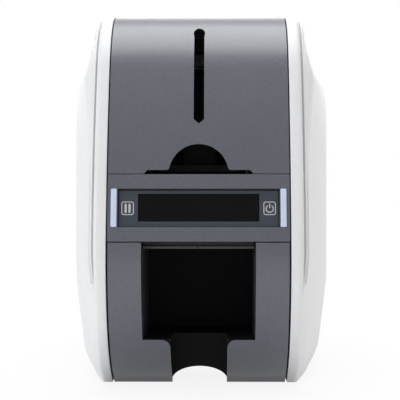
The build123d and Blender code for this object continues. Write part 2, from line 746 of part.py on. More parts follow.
def output_hopper():
    """Grey scoop: curved front with its T opening, outer sides and the two bay walls."""
    zone = block(-LEG_HALF, LEG_HALF, 0, HOPPER_BACK, 0, HOPPER_TOP)
    front = (casing(LEG_HALF, BAND_INSET) & zone) - casing(LEG_HALF - SKIN, BAND_INSET + SKIN)
    front -= block(-BAY_HALF, BAY_HALF, APRON_FRONT + TRAY_THICK, DEPTH, 0, HOPPER_TOP + OVER)
    walls = both_sides(BAY_HALF, BAY_HALF + BAY_WALL, 0, TRAY_BACK, APRON_LOW, HOPPER_TOP)
    walls &= casing(LEG_HALF, BAND_INSET + SKIN / 2)
    brace_back = HOPPER_BACK - TRAY_THICK
    brace = block(-BAY_HALF, BAY_HALF, brace_back - BRACE_THICK, brace_back,
                  TRAY_UNDER + 2 * BRACE_THICK, BAY_FLOOR - TRAY_THICK)
    return (front + walls) - bay_opening() + brace


def hopper_tray():
    """Black tray that the cards fall on, its back wall and the apron with the thumb arch."""
    half = BAY_HALF
    low = BAY_FLOOR - TRAY_THICK
    floor = block(-half, half, 0, TRAY_BACK, low, BAY_FLOOR)
    back = block(-half, half, TRAY_BACK - TRAY_THICK, TRAY_BACK, low, LIP_HEIGHTS[0] - TRAY_THICK)
    under = block(-half, half, APRON_FRONT, TRAY_BACK, TRAY_UNDER, TRAY_UNDER + TRAY_THICK)
    scoop = block(-SCOOP_HALF, SCOOP_HALF, 0, APRON_FRONT, low - OVER, BAY_FLOOR + OVER)
    drop = block(-half, half, APRON_FRONT, APRON_FRONT + TRAY_THICK, APRON_LOW, low)
    arch = Pos(0, APRON_LOW) * Ellipse(SCOOP_HALF + GAP, ARCH_RISE)
    drop -= through_front(arch, DEPTH / 2)
    liner = (floor + back + drop + under) & casing(half, BAND_INSET + SKIN)
    return liner - scoop


def exit_lip():
    """Strip over the bay mouth with a small notch in the middle."""
    front, back = LIP_DEPTHS
    low, high = LIP_HEIGHTS
    lip = block(-LIP_HALF, LIP_HALF, front, back, low, high) & casing(LIP_HALF, BAND_INSET + 2 * SKIN)
    riser = block(-LIP_HALF, LIP_HALF, LIP_RISER, back, high, BEZEL_LOW)
    notch = Pos(0, y_at(front), (low + high) / 2) * Rot(0, 0, 45) * Box(LIP_NOTCH, LIP_NOTCH, 2 * LIP_NOTCH)
    return lip + riser - notch


# ---- chassis ----

def shaft_places():
    """Every shaft that runs in the side plates: depth, height and radius."""
    places = [(d, z, SHAFT_R) for d, z, _ in ROLLERS.values()]
    places += [(d, z + PINCH_LIFT + PINCH_R, PINCH_SHAFT_R) for d, z in PINCHES.values()]
    places += [(*CLEANER, PINCH_SHAFT_R), (*TURNER, SPOOL_SHAFT_R)]
    places += [(*TAKEUP, SPOOL_SHAFT_R), (*SUPPLY, SPOOL_SHAFT_R)]
    return places


def side_plate(side):
    """Steel plate that carries every shaft, with a foot flange and screw flanges at the back."""
    plate = side_slab(PLATE_OUTLINE, side * PLATE_IN, side * PLATE_OUT)
    reach = PLATE_OUT + OVER
    for depth, z, radius in shaft_places():
        plate -= rod(-reach, reach, depth, z, radius + RUN_GAP)
    if side < 0:
        plate -= rod(-reach, 0, *RIBBON_PINION, SHAFT_R)
    x0, x1 = sorted((side * PLATE_OUT, side * PLATE_FLANGE_OUT))
    low = BASE_LOW + BASE_THICK
    for _, z in REAR_SCREWS[:3]:
        plate += block(x0, x1, *SCREW_TAB_DEPTHS, max(z - SCREW_TAB_RISE, low), z + SCREW_TAB_RISE)
    return plate + block(x0, x1, *PLATE_FLANGE_DEPTHS, low, low + PLATE_FLANGE_THICK)


def hinge_ears(axis, low):
    """Pair of fixed ears on a bridge, without their pin holes."""
    depth, z = axis
    ears = both_sides(EAR_IN, EAR_OUT, depth - HINGE_R, depth + HINGE_R, low, z)
    return ears + rod(EAR_IN, EAR_OUT, depth, z, HINGE_R) + rod(-EAR_OUT, -EAR_IN, depth, z, HINGE_R)


def front_bridge():
    """Cross bar at the top front: ears for the cover's pins and a catch for the lid's latch."""
    front, back, low, high = FRONT_BRIDGE
    inner = PLATE_IN - BRIDGE_WALL
    bar = block(-PLATE_IN, PLATE_IN, front, back, low, high)
    bar -= block(-inner, inner, front + CATCH_THICK, back - CATCH_THICK, low - OVER, high - BRIDGE_WALL)
    catch = block(-CATCH_HALF, CATCH_HALF, back, CATCH_BACK, low, low + CATCH_THICK)
    return bar + hinge_ears(COVER_AXIS, high - OVER) + catch - rod(-LUG_OUT, LUG_OUT, *COVER_AXIS, PIN_R)


def rear_bridge():
    """Cross bar at the top rear with the ears for the lid's pins."""
    front, back, low, high = REAR_BRIDGE
    bar = block(-PLATE_IN, PLATE_IN, front, back, low, high)
    return bar + hinge_ears(LID_AXIS, high - OVER) - rod(-LUG_OUT, LUG_OUT, *LID_AXIS, PIN_R)


def hinge_pins(axis):
    """Two steel pins on one axis."""
    end = LUG_OUT - PIN_SET
    return rod(EAR_IN, end, *axis, PIN_R) + rod(-end, -EAR_IN, *axis, PIN_R)


def tie_bars():
    """Round spacers between the side plates."""
    bars = Part()
    for depth, z in TIE_PLACES:
        bars += rod(-PLATE_IN, PLATE_IN, depth, z, TIE_R)
    return bars


def base_tray():
    """Steel floor with turned-up edges."""
    floor = block(-BASE_HALF, BASE_HALF, *BASE_DEPTHS, BASE_LOW, BASE_LOW + BASE_THICK)
    return floor + both_sides(BASE_HALF - BASE_EDGE, BASE_HALF, *BASE_DEPTHS, BASE_LOW, BASE_EDGE_HIGH)


def rubber_feet():
    """Four round pads under the tray."""
    feet = Part()
    for depth in FOOT_DEPTHS:
        for x in (-FOOT_X, FOOT_X):
            pad = Pos(x, y_at(depth), BASE_LOW / 2) * Cylinder(FOOT_R, BASE_LOW)
            feet += fillet(pad.edges().sort_by(Axis.Z)[0], FOOT_ROUND)
    return feet


def rear_screws():
    """Pan-head screws that hold the rear panel to the side plates."""
    screws = Part()
    seat = DEPTH - BAND_INSET - SCREW_SEAT
    for x, z in REAR_SCREWS:
        screws += peg(x, z, seat, seat + SCREW_HEAD_HIGH, SCREW_HEAD_R)
        screws += peg(x, z, SCREW_TAB_DEPTHS[1], seat, SCREW_R)
    return screws


# ---- card feed ----

def card_guide(span, z, rollers):
    """Sheet that a card slides on, with a window over each roller."""
    sheet = block(-PLATE_IN, PLATE_IN, *span, z + GUIDE_DROP[0], z + GUIDE_DROP[1])
    for name in rollers:
        depth, _, tyre = ROLLERS[name]
        half = tyre + GUIDE_WINDOW
        sheet -= block(-half, half, depth - ROLLER_R, depth + ROLLER_R, z - SKIN, z + OVER)
    return sheet


def input_magazine():
    """Guides on three sides of the card stack; the back wall leaves a gate for one card."""
    front, back = MAGAZINE_DEPTHS
    inner = CARD_WIDTH / 2 + MAGAZINE_PLAY
    outer = inner + MAGAZINE_WALL
    walls = both_sides(inner, outer, front, back, PATH_Z - MAGAZINE_PLAY, MAGAZINE_TOP)
    walls -= side_slab(MAGAZINE_CUT, -outer - OVER, outer + OVER)
    walls += block(-outer, outer, back - MAGAZINE_WALL, back, PATH_Z + MAGAZINE_GATE, MAGAZINE_TOP)
    for depths in MAGAZINE_TAB_DEPTHS:
        walls += both_sides(inner, PLATE_IN, *depths, *MAGAZINE_TAB_HEIGHTS)
    return walls


def card_weight():
    """Plate that presses the stack onto the pick roller, with a finger grip."""
    low, high = WEIGHT_HEIGHTS
    plate = block(-WEIGHT_HALF, WEIGHT_HALF, *WEIGHT_DEPTHS, PATH_Z + low, PATH_Z + high)
    plate = fillet(plate.edges().filter_by(Axis.Z), WEIGHT_ROUND)
    return plate + block(-GRIP_HALF, GRIP_HALF, *GRIP_DEPTHS, PATH_Z + high, PATH_Z + GRIP_HIGH)


def roller(name):
    """Steel shaft and rubber sleeve, with a belt pulley or room for a gear on the left."""
    depth, z, half = ROLLERS[name]
    reach = SHAFT_END + (EXIT_GEAR_OUT if name in GEAR_ROLLERS else PULLEY_OUT)
    whole = rod(-reach, PLATE_OUT + SHAFT_STICKS_OUT, depth, z, SHAFT_R)
    whole += rod(-half, half, depth, z, ROLLER_R - ROLLER_DROP)
    if name in BELT_ROLLERS:
        whole += belt_pulley((depth, z), PULLEY_R)
    return whole


def belt_pulley(place, radius):
    """Plain pulley face for the belt."""
    return rod(-PULLEY_OUT, -PULLEY_IN, *place, radius)


def exit_gear(name, turn):
    """One of the two equal gears that turn the exit roller against the feed roller."""
    place = ROLLERS[name][:2]
    return placed_gear(EXIT_TEETH, EXIT_MODULE, -EXIT_GEAR_OUT, -EXIT_GEAR_IN, place, SHAFT_R, turn)


def takeup_gear():
    """Gear on the take-up spool's shaft."""
    return placed_gear(TAKEUP_TEETH, FINE_MODULE, -RIBBON_GEAR_OUT, -RIBBON_GEAR_IN, TAKEUP, SPOOL_SHAFT_R)


def turner_gear():
    """Large gear on the card turner's shaft."""
    return placed_gear(TURNER_TEETH, FINE_MODULE, -TURNER_GEAR_OUT, -TURNER_GEAR_IN, TURNER, SPOOL_SHAFT_R)


def pinion(place, gear_in, gear_out):
    """Pinion and shaft of a small motor, with a gap where its partner has a tooth."""
    teeth = placed_gear(PINION_TEETH, FINE_MODULE, -gear_out, -gear_in, place, SHAFT_R - RUN_GAP,
                        HALF_TURN / PINION_TEETH)
    return teeth + motor_shaft(place, gear_in)


def pinch_roller(name):
    """Free-running steel roller over a driven one."""
    depth, path = PINCHES[name]
    z = path + PINCH_LIFT + PINCH_R
    reach = PLATE_OUT + STUB
    return rod(-reach, reach, depth, z, PINCH_SHAFT_R) + rod(-PINCH_HALF, PINCH_HALF, depth, z, PINCH_R)


def cleaning_roller():
    """Sticky roller that takes dust off the card."""
    reach = PLATE_OUT + STUB
    return rod(-reach, reach, *CLEANER, PINCH_SHAFT_R) + rod(-CLEANER_HALF, CLEANER_HALF, *CLEANER, CLEANER_R)


def drive_belt():
    """Belt round the five roller pulleys and the motor pulley."""
    def hull(extra):
        rims = [(ROLLERS[n][0], ROLLERS[n][1], PULLEY_R + extra) for n in ("pick", "rear")]
        rims.append((*MOTOR_PLACE, MOTOR_PULLEY_R + extra))
        wheels = [Pos(y_at(d), z) * Circle(r) for d, z, r in rims]
        return make_hull([edge for wheel in wheels for edge in wheel.edges()])

    loop = Plane.YZ * (hull(BELT_CLEAR + BELT_THICK) - hull(BELT_CLEAR))
    width = PULLEY_OUT - PULLEY_IN - 2 * BELT_SIDE_GAP
    return Pos(-PULLEY_OUT + BELT_SIDE_GAP, 0, 0) * extrude(loop, amount=width)


def motor(place, radius, length):
    """Round motor in the left belly with its mounting plate, its shaft hole left open."""
    depth, z = place
    body = rod(-MOTOR_FACE - length, -MOTOR_FACE, depth, z, radius)
    body += rod(-MOTOR_FACE, -MOTOR_FACE + MOTOR_BOSS, depth, z, radius / 2)
    drop_low, drop_high = MOTOR_STAND_DROP
    stand = block(-MOTOR_FACE - MOTOR_STAND_REACH, -PLATE_OUT, depth - MOTOR_STAND_HALF,
                  depth + MOTOR_STAND_HALF, z - radius + drop_low, z - radius + drop_high)
    return body + stand - rod(-MOTOR_FACE - length / 2, 0, depth, z, SHAFT_R)


def small_motors():
    """The ribbon motor and the turner motor, which are alike."""
    places = (RIBBON_PINION, TURNER_PINION)
    return Part() + [motor(place, SMALL_MOTOR_R, SMALL_MOTOR_LENGTH) for place in places]


def motor_shaft(place, inner):
    """Shaft that runs from inside the motor to its pulley or pinion."""
    return rod(-MOTOR_FACE - MOTOR_SHAFT_IN, -inner, *place, SHAFT_R - RUN_GAP)


# ---- ribbon ----

def spool(place, radius):
    """Wound ribbon on its core, with stub shafts that lie in the side plates."""
    reach = PLATE_OUT + SPOOL_STUB
    return rod(-SPOOL_HALF, SPOOL_HALF, *place, radius) + rod(-reach, reach, *place, SPOOL_SHAFT_R)


def ribbon_film():
    """Film from the supply roll, under the print head and up to the take-up roll."""
    front, back = FILM_DEPTHS
    thick = FILM_THICK
    rear_top = (SUPPLY[0] - SUPPLY_R - FILM_LIFT, SUPPLY[1])
    front_top = (TAKEUP[0] + TAKEUP_R + FILM_LIFT, TAKEUP[1])
    outer = [rear_top, (back, FILM_Z), (front, FILM_Z), front_top]
    inner = [(rear_top[0] + thick, rear_top[1]), (back + thick, FILM_Z - thick),
             (front - thick, FILM_Z - thick), (front_top[0] - thick, front_top[1])]
    half = SPOOL_HALF - FILM_SIDE_GAP
    return side_slab(outer + inner[::-1], -half, half)


def ribbon_cassette():
    """Two cheeks and two bars that keep the spools together."""
    cassette = side_slab(CHEEK_OUTLINE, CHEEK_IN, CHEEK_OUT) + side_slab(CHEEK_OUTLINE, -CHEEK_OUT, -CHEEK_IN)
    for place in (TAKEUP, SUPPLY):
        cassette -= rod(-CHEEK_OUT - OVER, CHEEK_OUT + OVER, *place, SPOOL_SHAFT_R + RUN_GAP)
    for depths in CASSETTE_BARS:
        cassette += block(-CHEEK_OUT, CHEEK_OUT, *depths, *CASSETTE_BAR_HEIGHTS)
    return cassette + both_sides(CHEEK_OUT, PLATE_IN, *CASSETTE_REST)


# ---- print head ----

def print_head():
    """Ceramic print head bar."""
    head = block(-HEAD_HALF, HEAD_HALF, *HEAD_DEPTHS, *HEAD_HEIGHTS)
    return chamfer(head.edges().filter_by(Axis.X).group_by(Axis.Z)[0], HEAD_CHAMFER)


def head_bracket():
    """Arm that hangs the print head from the lid."""
    front, back = BRACKET_DEPTHS
    inner = BRACKET_HALF - BRACKET_WALL
    stem = block(-BRACKET_HALF, BRACKET_HALF, front, back, HEAD_HEIGHTS[1], HEIGHT)
    stem -= block(-inner, inner, front - OVER, back + OVER, *BRACKET_WINDOW)
    return stem & casing(BAND_HALF, BAND_INSET + SKIN)


def head_heatsink():
    """Finned block on the back of the bracket."""
    low, high = SINK_HEIGHTS
    front = BRACKET_DEPTHS[1]
    sink = block(-SINK_HALF, SINK_HALF, front, SINK_BACK, low, high)
    last_gap = round(SINK_HALF) - FIN_PITCH // 2
    for x in range(-last_gap, last_gap + 1, FIN_PITCH):
        sink -= block(x - FIN_GAP_HALF, x + FIN_GAP_HALF, front + SINK_BASE, SINK_BACK + OVER,
                      low - OVER, high + OVER)
    return sink


# ---- card turner ----

def card_turner():
    """Cradle that takes a card from the upper path and hands it back on the lower one."""
    depth, z = TURNER
    cheek = TURNER_CHEEK_OUT
    depths = (depth - TURNER_HALF, depth + TURNER_HALF)
    cradle = both_sides(TURNER_CHEEK_IN, cheek, *depths, z - TURNER_RISE, z + TURNER_RISE)
    for low, high in TURNER_SHEETS:
        cradle += block(-cheek, cheek, *depths, z + low, z + high)
        cradle += block(-cheek, cheek, *depths, z - high, z - low)
    cradle += rod(-cheek, cheek, depth, z, TURNER_HUB_R)
    return cradle + rod(-TURNER_GEAR_OUT - SHAFT_END, PLATE_OUT + STUB, depth, z, SPOOL_SHAFT_R)


# ---- electronics ----

def main_board():
    """Circuit board on the right side plate with its larger components."""
    face = BOARD_X + BOARD_THICK
    board = block(BOARD_X, face, *BOARD_DEPTHS, *BOARD_HEIGHTS)
    for depth, z in BOARD_POSTS:
        board += rod(PLATE_OUT, BOARD_X, depth, z, BOARD_POST_R)
    board += block(face, face + CHIP_THICK, *CHIP)
    for depth in CAPACITOR_DEPTHS:
        board += rod(face, face + CAPACITOR_LENGTH, depth, CAPACITOR_Z, CAPACITOR_R)
    return board


def rear_port(name, wall):
    """Connector shell that reaches through the rear panel, open to the back."""
    x0, x1 = PORT_SIDES
    z0, z1 = PORT_HEIGHTS[name]
    z0, z1 = z0 + GAP, z1 - GAP
    shell = block(x0, x1, PORT_FRONT, DEPTH - BAND_INSET, z0, z1)
    return shell - block(x0 + wall, x1 - wall, PORT_MOUTH, DEPTH, z0 + wall, z1 - wall)


def fan_frame():
    """Square fan housing behind the rear panel, on a ledge between the side plates."""
    front, back = FAN_DEPTHS
    ledge_half, ledge_rise, ledge_front = FAN_LEDGE
    frame = block(-FAN_HALF, FAN_HALF, front, back, FAN_Z - FAN_HALF, FAN_Z + FAN_HALF)
    frame += block(-ledge_half, ledge_half, ledge_front, front, FAN_Z - ledge_rise, FAN_Z + ledge_rise)
    frame -= peg(0, FAN_Z, ledge_front - OVER, back + OVER, FAN_BORE)
    frame += peg(0, FAN_Z, front, front + FAN_SPOKE, FAN_HUB_R - OVER)
    frame += block(-FAN_BORE - OVER, FAN_BORE + OVER, front, front + FAN_SPOKE,
                   FAN_Z - FAN_SPOKE / 2, FAN_Z + FAN_SPOKE / 2)
    return frame + peg(0, FAN_Z, front, front + FAN_PIN_LENGTH, FAN_PIN_R)


def fan_rotor():
    """Hub with slanted blades that turns on the frame's pin."""
    front, back = FAN_DEPTHS[0] + FAN_SPOKE + GAP, FAN_DEPTHS[1] - GAP
    centre = Pos(0, y_at((front + back) / 2), FAN_Z) * Rot(90, 0, 0)
    rotor = peg(0, FAN_Z, front, back, FAN_HUB_R)
    for blade in range(FAN_BLADES):
        turn = Rot(0, 0, 2 * HALF_TURN / FAN_BLADES * blade)
        rotor += centre * turn * Pos(FAN_BLADE_OUT, 0, 0) * Rot(FAN_BLADE_PITCH, 0, 0) * Box(*FAN_BLADE)
    return rotor - peg(0, FAN_Z, front - OVER, back + OVER, FAN_PIN_R + RUN_GAP)


def build_parts():
    """Every sub-part by the name of its node."""
    right = right_cover()
    parts = {
        "right_side_cover": right,
        "left_side_cover": mirror(right, about=Plane.YZ),
        "hopper_cover": hopper_cover(),
        "top_cover": top_cover(),
        "lid_latch": lid_latch(),
        "rear_panel": rear_panel(),
        "control_bezel": control_bezel(),
        "light_bars": light_bar(-1) + light_bar(1),
        "display_panel": display_panel(),
        "display_window": display_window(),
        "display_module": display_module(),
        "panel_board": panel_board(),
        "pause_button": button(-BUTTON_X),
        "power_button": button(BUTTON_X),
        "output_hopper": output_hopper(),
        "hopper_tray": hopper_tray(),
        "exit_lip": exit_lip(),
        "left_side_plate": side_plate(-1),
        "right_side_plate": side_plate(1),
        "hinge_bridges": front_bridge() + rear_bridge(),
        "hinge_pins": hinge_pins(COVER_AXIS) + hinge_pins(LID_AXIS),
        "tie_bars": tie_bars(),
        "base_tray": base_tray(),
        "rubber_feet": rubber_feet(),
        "rear_screws": rear_screws(),
        "card_guides": (card_guide(GUIDE_SPANS["upper"], PATH_Z, BELT_ROLLERS)
                        + card_guide(GUIDE_SPANS["lower"], RETURN_Z, ("exit",))),
        "input_magazine": input_magazine(),
        "card_weight": card_weight(),
        "cleaning_roller": cleaning_roller(),
        "drive_belt": drive_belt(),
        "supply_spool": spool(SUPPLY, SUPPLY_R),
        "takeup_spool": spool(TAKEUP, TAKEUP_R),
        "ribbon_film": ribbon_film(),
        "ribbon_cassette": ribbon_cassette(),
        "print_head": print_head(),
        "head_bracket": head_bracket(),
        "head_heatsink": head_heatsink(),
        "card_turner": card_turner(),
        "main_board": main_board(),
        "power_inlet": rear_port("power_inlet", POWER_WALL),
        "data_ports": rear_port("usb_port", DATA_WALL) + rear_port("network_port", DATA_WALL),
        "fan_frame": fan_frame(),
        "fan_rotor": fan_rotor(),
        "main_motor": motor(MOTOR_PLACE, MOTOR_R, MOTOR_LENGTH),
        "small_motors": small_motors(),
        "motor_pulley": belt_pulley(MOTOR_PLACE, MOTOR_PULLEY_R) + motor_shaft(MOTOR_PLACE, PULLEY_IN),
        "ribbon_pinion": pinion(RIBBON_PINION, RIBBON_GEAR_IN, RIBBON_GEAR_OUT),
        "takeup_gear": takeup_gear(),
        "turner_pinion": pinion(TURNER_PINION, TURNER_GEAR_IN, TURNER_GEAR_OUT),
        "turner_gear": turner_gear(),
        "feed_gear": exit_gear("feed", 0.0),
        "exit_gear": exit_gear("exit", HALF_TURN / EXIT_TEETH),
    }
    for name in ROLLERS:
        parts[f"{name}_roller"] = roller(name)
    for name in PINCHES:
        parts[f"{name}_pinch_roller"] = pinch_roller(name)
    return parts


def main():
    os.makedirs("parts", exist_ok=True)
    for name, shape in build_parts().items():
        export_step(shape, f"parts/{name}.step")
        print(name, round(shape.volume))


if __name__ == "__main__":
    main()
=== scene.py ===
"""Card printer with an arched grey band between two white side covers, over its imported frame."""

import math

import bmesh
import bpy
from bpy.props import FloatProperty, FloatVectorProperty, PointerProperty
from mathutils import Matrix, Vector


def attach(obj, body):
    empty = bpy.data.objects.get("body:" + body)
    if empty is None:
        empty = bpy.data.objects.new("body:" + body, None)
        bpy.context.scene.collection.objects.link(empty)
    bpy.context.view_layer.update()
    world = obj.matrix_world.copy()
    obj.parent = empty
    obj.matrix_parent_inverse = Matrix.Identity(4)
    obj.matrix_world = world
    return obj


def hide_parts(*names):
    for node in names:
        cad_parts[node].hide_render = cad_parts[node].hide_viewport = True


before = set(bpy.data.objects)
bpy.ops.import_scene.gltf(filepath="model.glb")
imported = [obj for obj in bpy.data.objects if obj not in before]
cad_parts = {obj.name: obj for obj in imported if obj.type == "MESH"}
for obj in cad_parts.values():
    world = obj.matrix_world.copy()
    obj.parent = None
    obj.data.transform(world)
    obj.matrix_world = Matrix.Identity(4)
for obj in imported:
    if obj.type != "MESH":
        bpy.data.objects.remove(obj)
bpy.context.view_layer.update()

bl_info = {
    "name": "Card Printer",
    "version": (1, 0, 0),
    "blender": (4, 5, 0),
    "location": "View3D > Sidebar > Card Printer",
    "description": "Dresses the card printer's frame with its shells, panel, mechanism and stage",
    "category": "Object",
}

MM = 0.001
DEPTH = 368.0

# Side view of the casing: depths behind the foremost point, heights and radii in millimetres,
# turns in degrees. The arcs of the front are given as radius and turn, from the foot up.
NOSE_R = 77.0
NOSE_START = 27.6
BOTTOM_CORNER_R = 5.0
BOTTOM_CORNER_TURN = 90.0
GROUND = 0.8
PROFILE_ARCS = ((77.0, 70.6), (361.8, 16.4), (63.4, 66.5))
REAR_R = 34.0
REAR_TURN = 88.9
REAR_CORNER_DEPTH = 334.65
ARC_STEP = 2.2
LINE_STEP = 2.5 * ARC_STEP

# Belly of the side covers in millimetres: its half width follows the depth, is pulled in towards
# the foot by BELLY_DRAW (height and amount), and is cut by the SHOULDER (height and half width),
# which looks as given from SHOULDER_AIM (x, height and distance in front of the printer).
BELLY_DRAW = ((0.0, 13.5), (14.0, 5.5), (60.0, 0.0))
BELLY_FRONT, BELLY_WIDEST = 8.0, 225.0
BELLY_FRONT_X, BELLY_REAR_X = 61.0, 75.0
SHOULDER = ((150.0, 105.5), (182.3, 86.5), (201.0, 75.5), (236.0, 66.5))
SHOULDER_DEPTH = 180.0
SHOULDER_AIM = (10.0, 110.3, 800.0)
SHOULDER_SOFT = 1.2
SMOOTHED_OVER = (-4.0, 0.0, 4.0)
MIDDLE = Vector((188.0, 96.0))
SQUARE = 4.5
LEAST_SLANT = 0.35

# Section across a side cover in millimetres, as x and the distance below the outline: the rim's
# inner side, the side of the groove beside the rim, the rows below the groove's lip, and the rows
# from there to the middle, as shares of the way. Radii are given with what they gain at the front.
RIM_INSIDE = ((0.0, 7.0), (0.0, 0.55), (0.12, 0.2), (0.4, 0.03), (1.0, 0.0), (3.0, 0.0))
RIM_STEPS = 6
GROOVE_SIDE = ((0.0, -0.6), (0.1, -0.15), (0.35, 0.0), (0.65, -0.3), (0.95, -1.0), (1.3, -2.1))
GROOVE_WIDTH = 1.5
LIP_DROP = 2.0
MERGE_R = (2.0, 11.0)
LIP_R = (2.2, 3.0)
BELOW_LIP = (0.0, 0.25, 0.7, 1.4, 2.4, 4.0, 6.0, 8.5, 12.0, 16.0, 21.0)
SHARES = (0.93, 0.84, 0.74, 0.63, 0.52, 0.41, 0.30, 0.19, 0.09)
CREASE_HEIGHTS = (48.0, 84.0)
MERGED_START = 5.0

# Posts for the cover's screws: depth and height of each, and the outline as radius and x.
BOSSES = ((235.0, 178.0), (330.0, 182.0), (135.0, 25.0), (335.0, 30.0))
BOSS_R = 4.0
BOSS_OUTLINE = ((BOSS_R, 41.0), (3.4, 40.4), (2.0, 40.4), (1.5, 40.9), (1.5, 50.0))
BOSS_SIDES = 24

# Control panel's plane, which leans back with the band, in millimetres and degrees, and what lies
# on it: the corners of a black strip round the panel's plate, which is painted shadow of the
# bezel's upper lip, and the keys' symbols, KEY_X to either side. Frames are given as half
# width, half height and corner radius, and bars as lower end, upper end and half width.
PANEL_DEPTH = 4.9
PANEL_Z = 105.85
PANEL_LEAN = 10.6
# Painted shadow: a black strip where the bezel's lip shades the panel's plate.
SHADOW_STRIP_OUTLINE = ((45.7, 11.0), (-45.7, 11.0), (-45.7, -11.0), (45.7, -11.0))
SHADOW_STRIP_INSIDE = ((45.1, 10.05), (-45.1, 10.05), (-45.1, -10.6), (45.1, -10.6))
SHADOW_STRIP_HEIGHTS = (-1.5, -1.3)
KEY_X = 40.2
KEY_FACE = -1.4
SYMBOL_HEIGHTS = (KEY_FACE - 0.02, KEY_FACE + 0.12)
FRAME_OUTSIDE = (3.55, 3.92, 1.3)
FRAME_INSIDE = (3.02, 3.39, 0.85)
CORNER_STEPS = 6
PAUSE_SHIFT = 1.1
PAUSE_BAR = (-2.7, 2.7, 0.62)
POWER_BAR = (0.0, 2.85, 0.32)
POWER_RING = (2.35, 1.75)
POWER_DROP = 0.25
POWER_GAP = 34.0
POWER_STEPS = 28
BAR_END_STEP = 30

# Half width of the card bay's walls that are coloured black, in metres, and how deep that black
# starts below the band's skin, in millimetres. That black is lifted as painted light for their
# shade.
BAY_WALL = 0.0342
BAY_SKIN = 1.1

# Moulded edges: the CAD mesh's seams are welded, its flat faces joined, and its edges bevelled.
WELD_REACH = 0.01 * MM
FLAT_ANGLE = 0.6
EDGE_ANGLE = 35.0
EDGE_SEGMENTS = 2

# Depth of the bumps in the finishes, in metres.
GRAIN_DEPTH = 0.0002
LINE_DEPTH = 0.0001

# Sockets of a Mix node that mixes colours, where several share a name.
MIX_FACTOR, MIX_FIRST, MIX_SECOND, MIX_RESULT = 0, 6, 7, 2

# Stage: half the floor's side, how white it is to the camera and to reflections under the
# printer, how fast that rises outwards, and the lamps' colours.
FLOOR_HALF = 4
FLOOR_WHITE, FLOOR_MIRROR = 0.87, 0.4
FLOOR_RISE = 3.0
NEUTRAL = (1.0, 1.0, 1.0)
COOL = (0.98, 0.99, 1.0)
WARM = (1.0, 0.80, 0.64)
RIGHT_SHARE = 0.2
BACK_POWER = 13.0


# ---- properties ----

class PrinterSizes(bpy.types.PropertyGroup):
    rim_in: FloatProperty(
        name="Rim inside",
        description="Half width where the white rims start",
        default=0.0523, unit="LENGTH")
    rim_out: FloatProperty(
        name="Rim outside",
        description="Half width where the rims end",
        default=0.0595, unit="LENGTH")
    rim_round: FloatProperty(
        name="Rim rounding",
        description="Radius of the rim's outer edge",
        default=0.0025, unit="LENGTH")
    crease: FloatProperty(
        name="Crease",
        description="How far the groove beside the rim is sunk",
        default=0.0056, unit="LENGTH")
    widest: FloatProperty(
        name="Belly half width",
        description="Half width of the printer at its widest",
        default=0.0864, unit="LENGTH")
    wall: FloatProperty(
        name="Cover wall",
        description="Wall thickness of the side covers",
        default=0.0022, unit="LENGTH")
    edge: FloatProperty(
        name="Edge rounding",
        description="Rounding of the moulded edges",
        default=0.00062, unit="LENGTH")


class PrinterColours(bpy.types.PropertyGroup):
    white: FloatVectorProperty(
        name="White covers",
        description="Moulded white of the side covers",
        default=(0.81, 0.82, 0.83), subtype="COLOR", min=0, max=1)
    grey: FloatVectorProperty(
        name="Grey band",
        description="Slate grey of the band",
        default=(0.091, 0.098, 0.124), subtype="COLOR", min=0, max=1)
    panel: FloatVectorProperty(
        name="Panel",
        description="Dark blue grey of the recessed panel",
        default=(0.045, 0.054, 0.072), subtype="COLOR", min=0, max=1)
    black: FloatVectorProperty(
        name="Black parts",
        description="Black plastic inside",
        default=(0.026, 0.026, 0.028), subtype="COLOR", min=0, max=1)
    print_grey: FloatVectorProperty(
        name="Key symbols",
        description="Light grey of the key symbols",
        default=(0.50, 0.52, 0.55), subtype="COLOR", min=0, max=1)
    guide: FloatVectorProperty(
        name="Light guides",
        description="Frosted light bars",
        default=(0.60, 0.68, 0.86), subtype="COLOR", min=0, max=1)


class StageSettings(bpy.types.PropertyGroup):
    lens: FloatProperty(
        name="Lens",
        description="Focal length of the camera",
        default=128.25, unit="CAMERA")
    camera_place: FloatVectorProperty(
        name="Camera",
        description="Where the camera stands",
        default=(0.010, -0.984, 0.1103), subtype="TRANSLATION", unit="LENGTH")
    camera_turn: FloatProperty(
        name="Camera turn",
        description="How far the camera turns to the left",
        default=math.atan(16.2 / 1420), unit="ROTATION")
    overhead: FloatProperty(
        name="Overhead lamp",
        description="Power of the soft lamp over the printer",
        default=17.5, unit="POWER")
    fill: FloatProperty(
        name="Fill lamp",
        description="Power of the lamp in front on the left",
        default=9.0, unit="POWER")
    room: FloatProperty(
        name="Room light",
        description="Strength of the light from all sides",
        default=0.50, min=0)


# ---- materials ----

class Value:
    """A node's output. Arithmetic on it adds Math nodes."""

    def __init__(self, nodes, socket):
        self.nodes = nodes
        self.socket = socket

    def _math(self, operation, *terms):
        settings = {"operation": operation}
        return self.nodes.add("ShaderNodeMath", settings, dict(enumerate(terms)))

    def __add__(self, other):
        return self._math("ADD", self, other)

    def __radd__(self, other):
        return self._math("ADD", other, self)

    def __sub__(self, other):
        return self._math("SUBTRACT", self, other)

    def __rsub__(self, other):
        return self._math("SUBTRACT", other, self)

    def __mul__(self, other):
        return self._math("MULTIPLY", self, other)

    def __rmul__(self, other):
        return self._math("MULTIPLY", other, self)

    def __abs__(self):
        return self._math("ABSOLUTE", self)

    def above(self, other):
        return self._math("GREATER_THAN", self, other)

    def below(self, other):
        return self._math("LESS_THAN", self, other)

    def clamped(self):
        return self.nodes.add("ShaderNodeClamp", {}, {"Value": self})


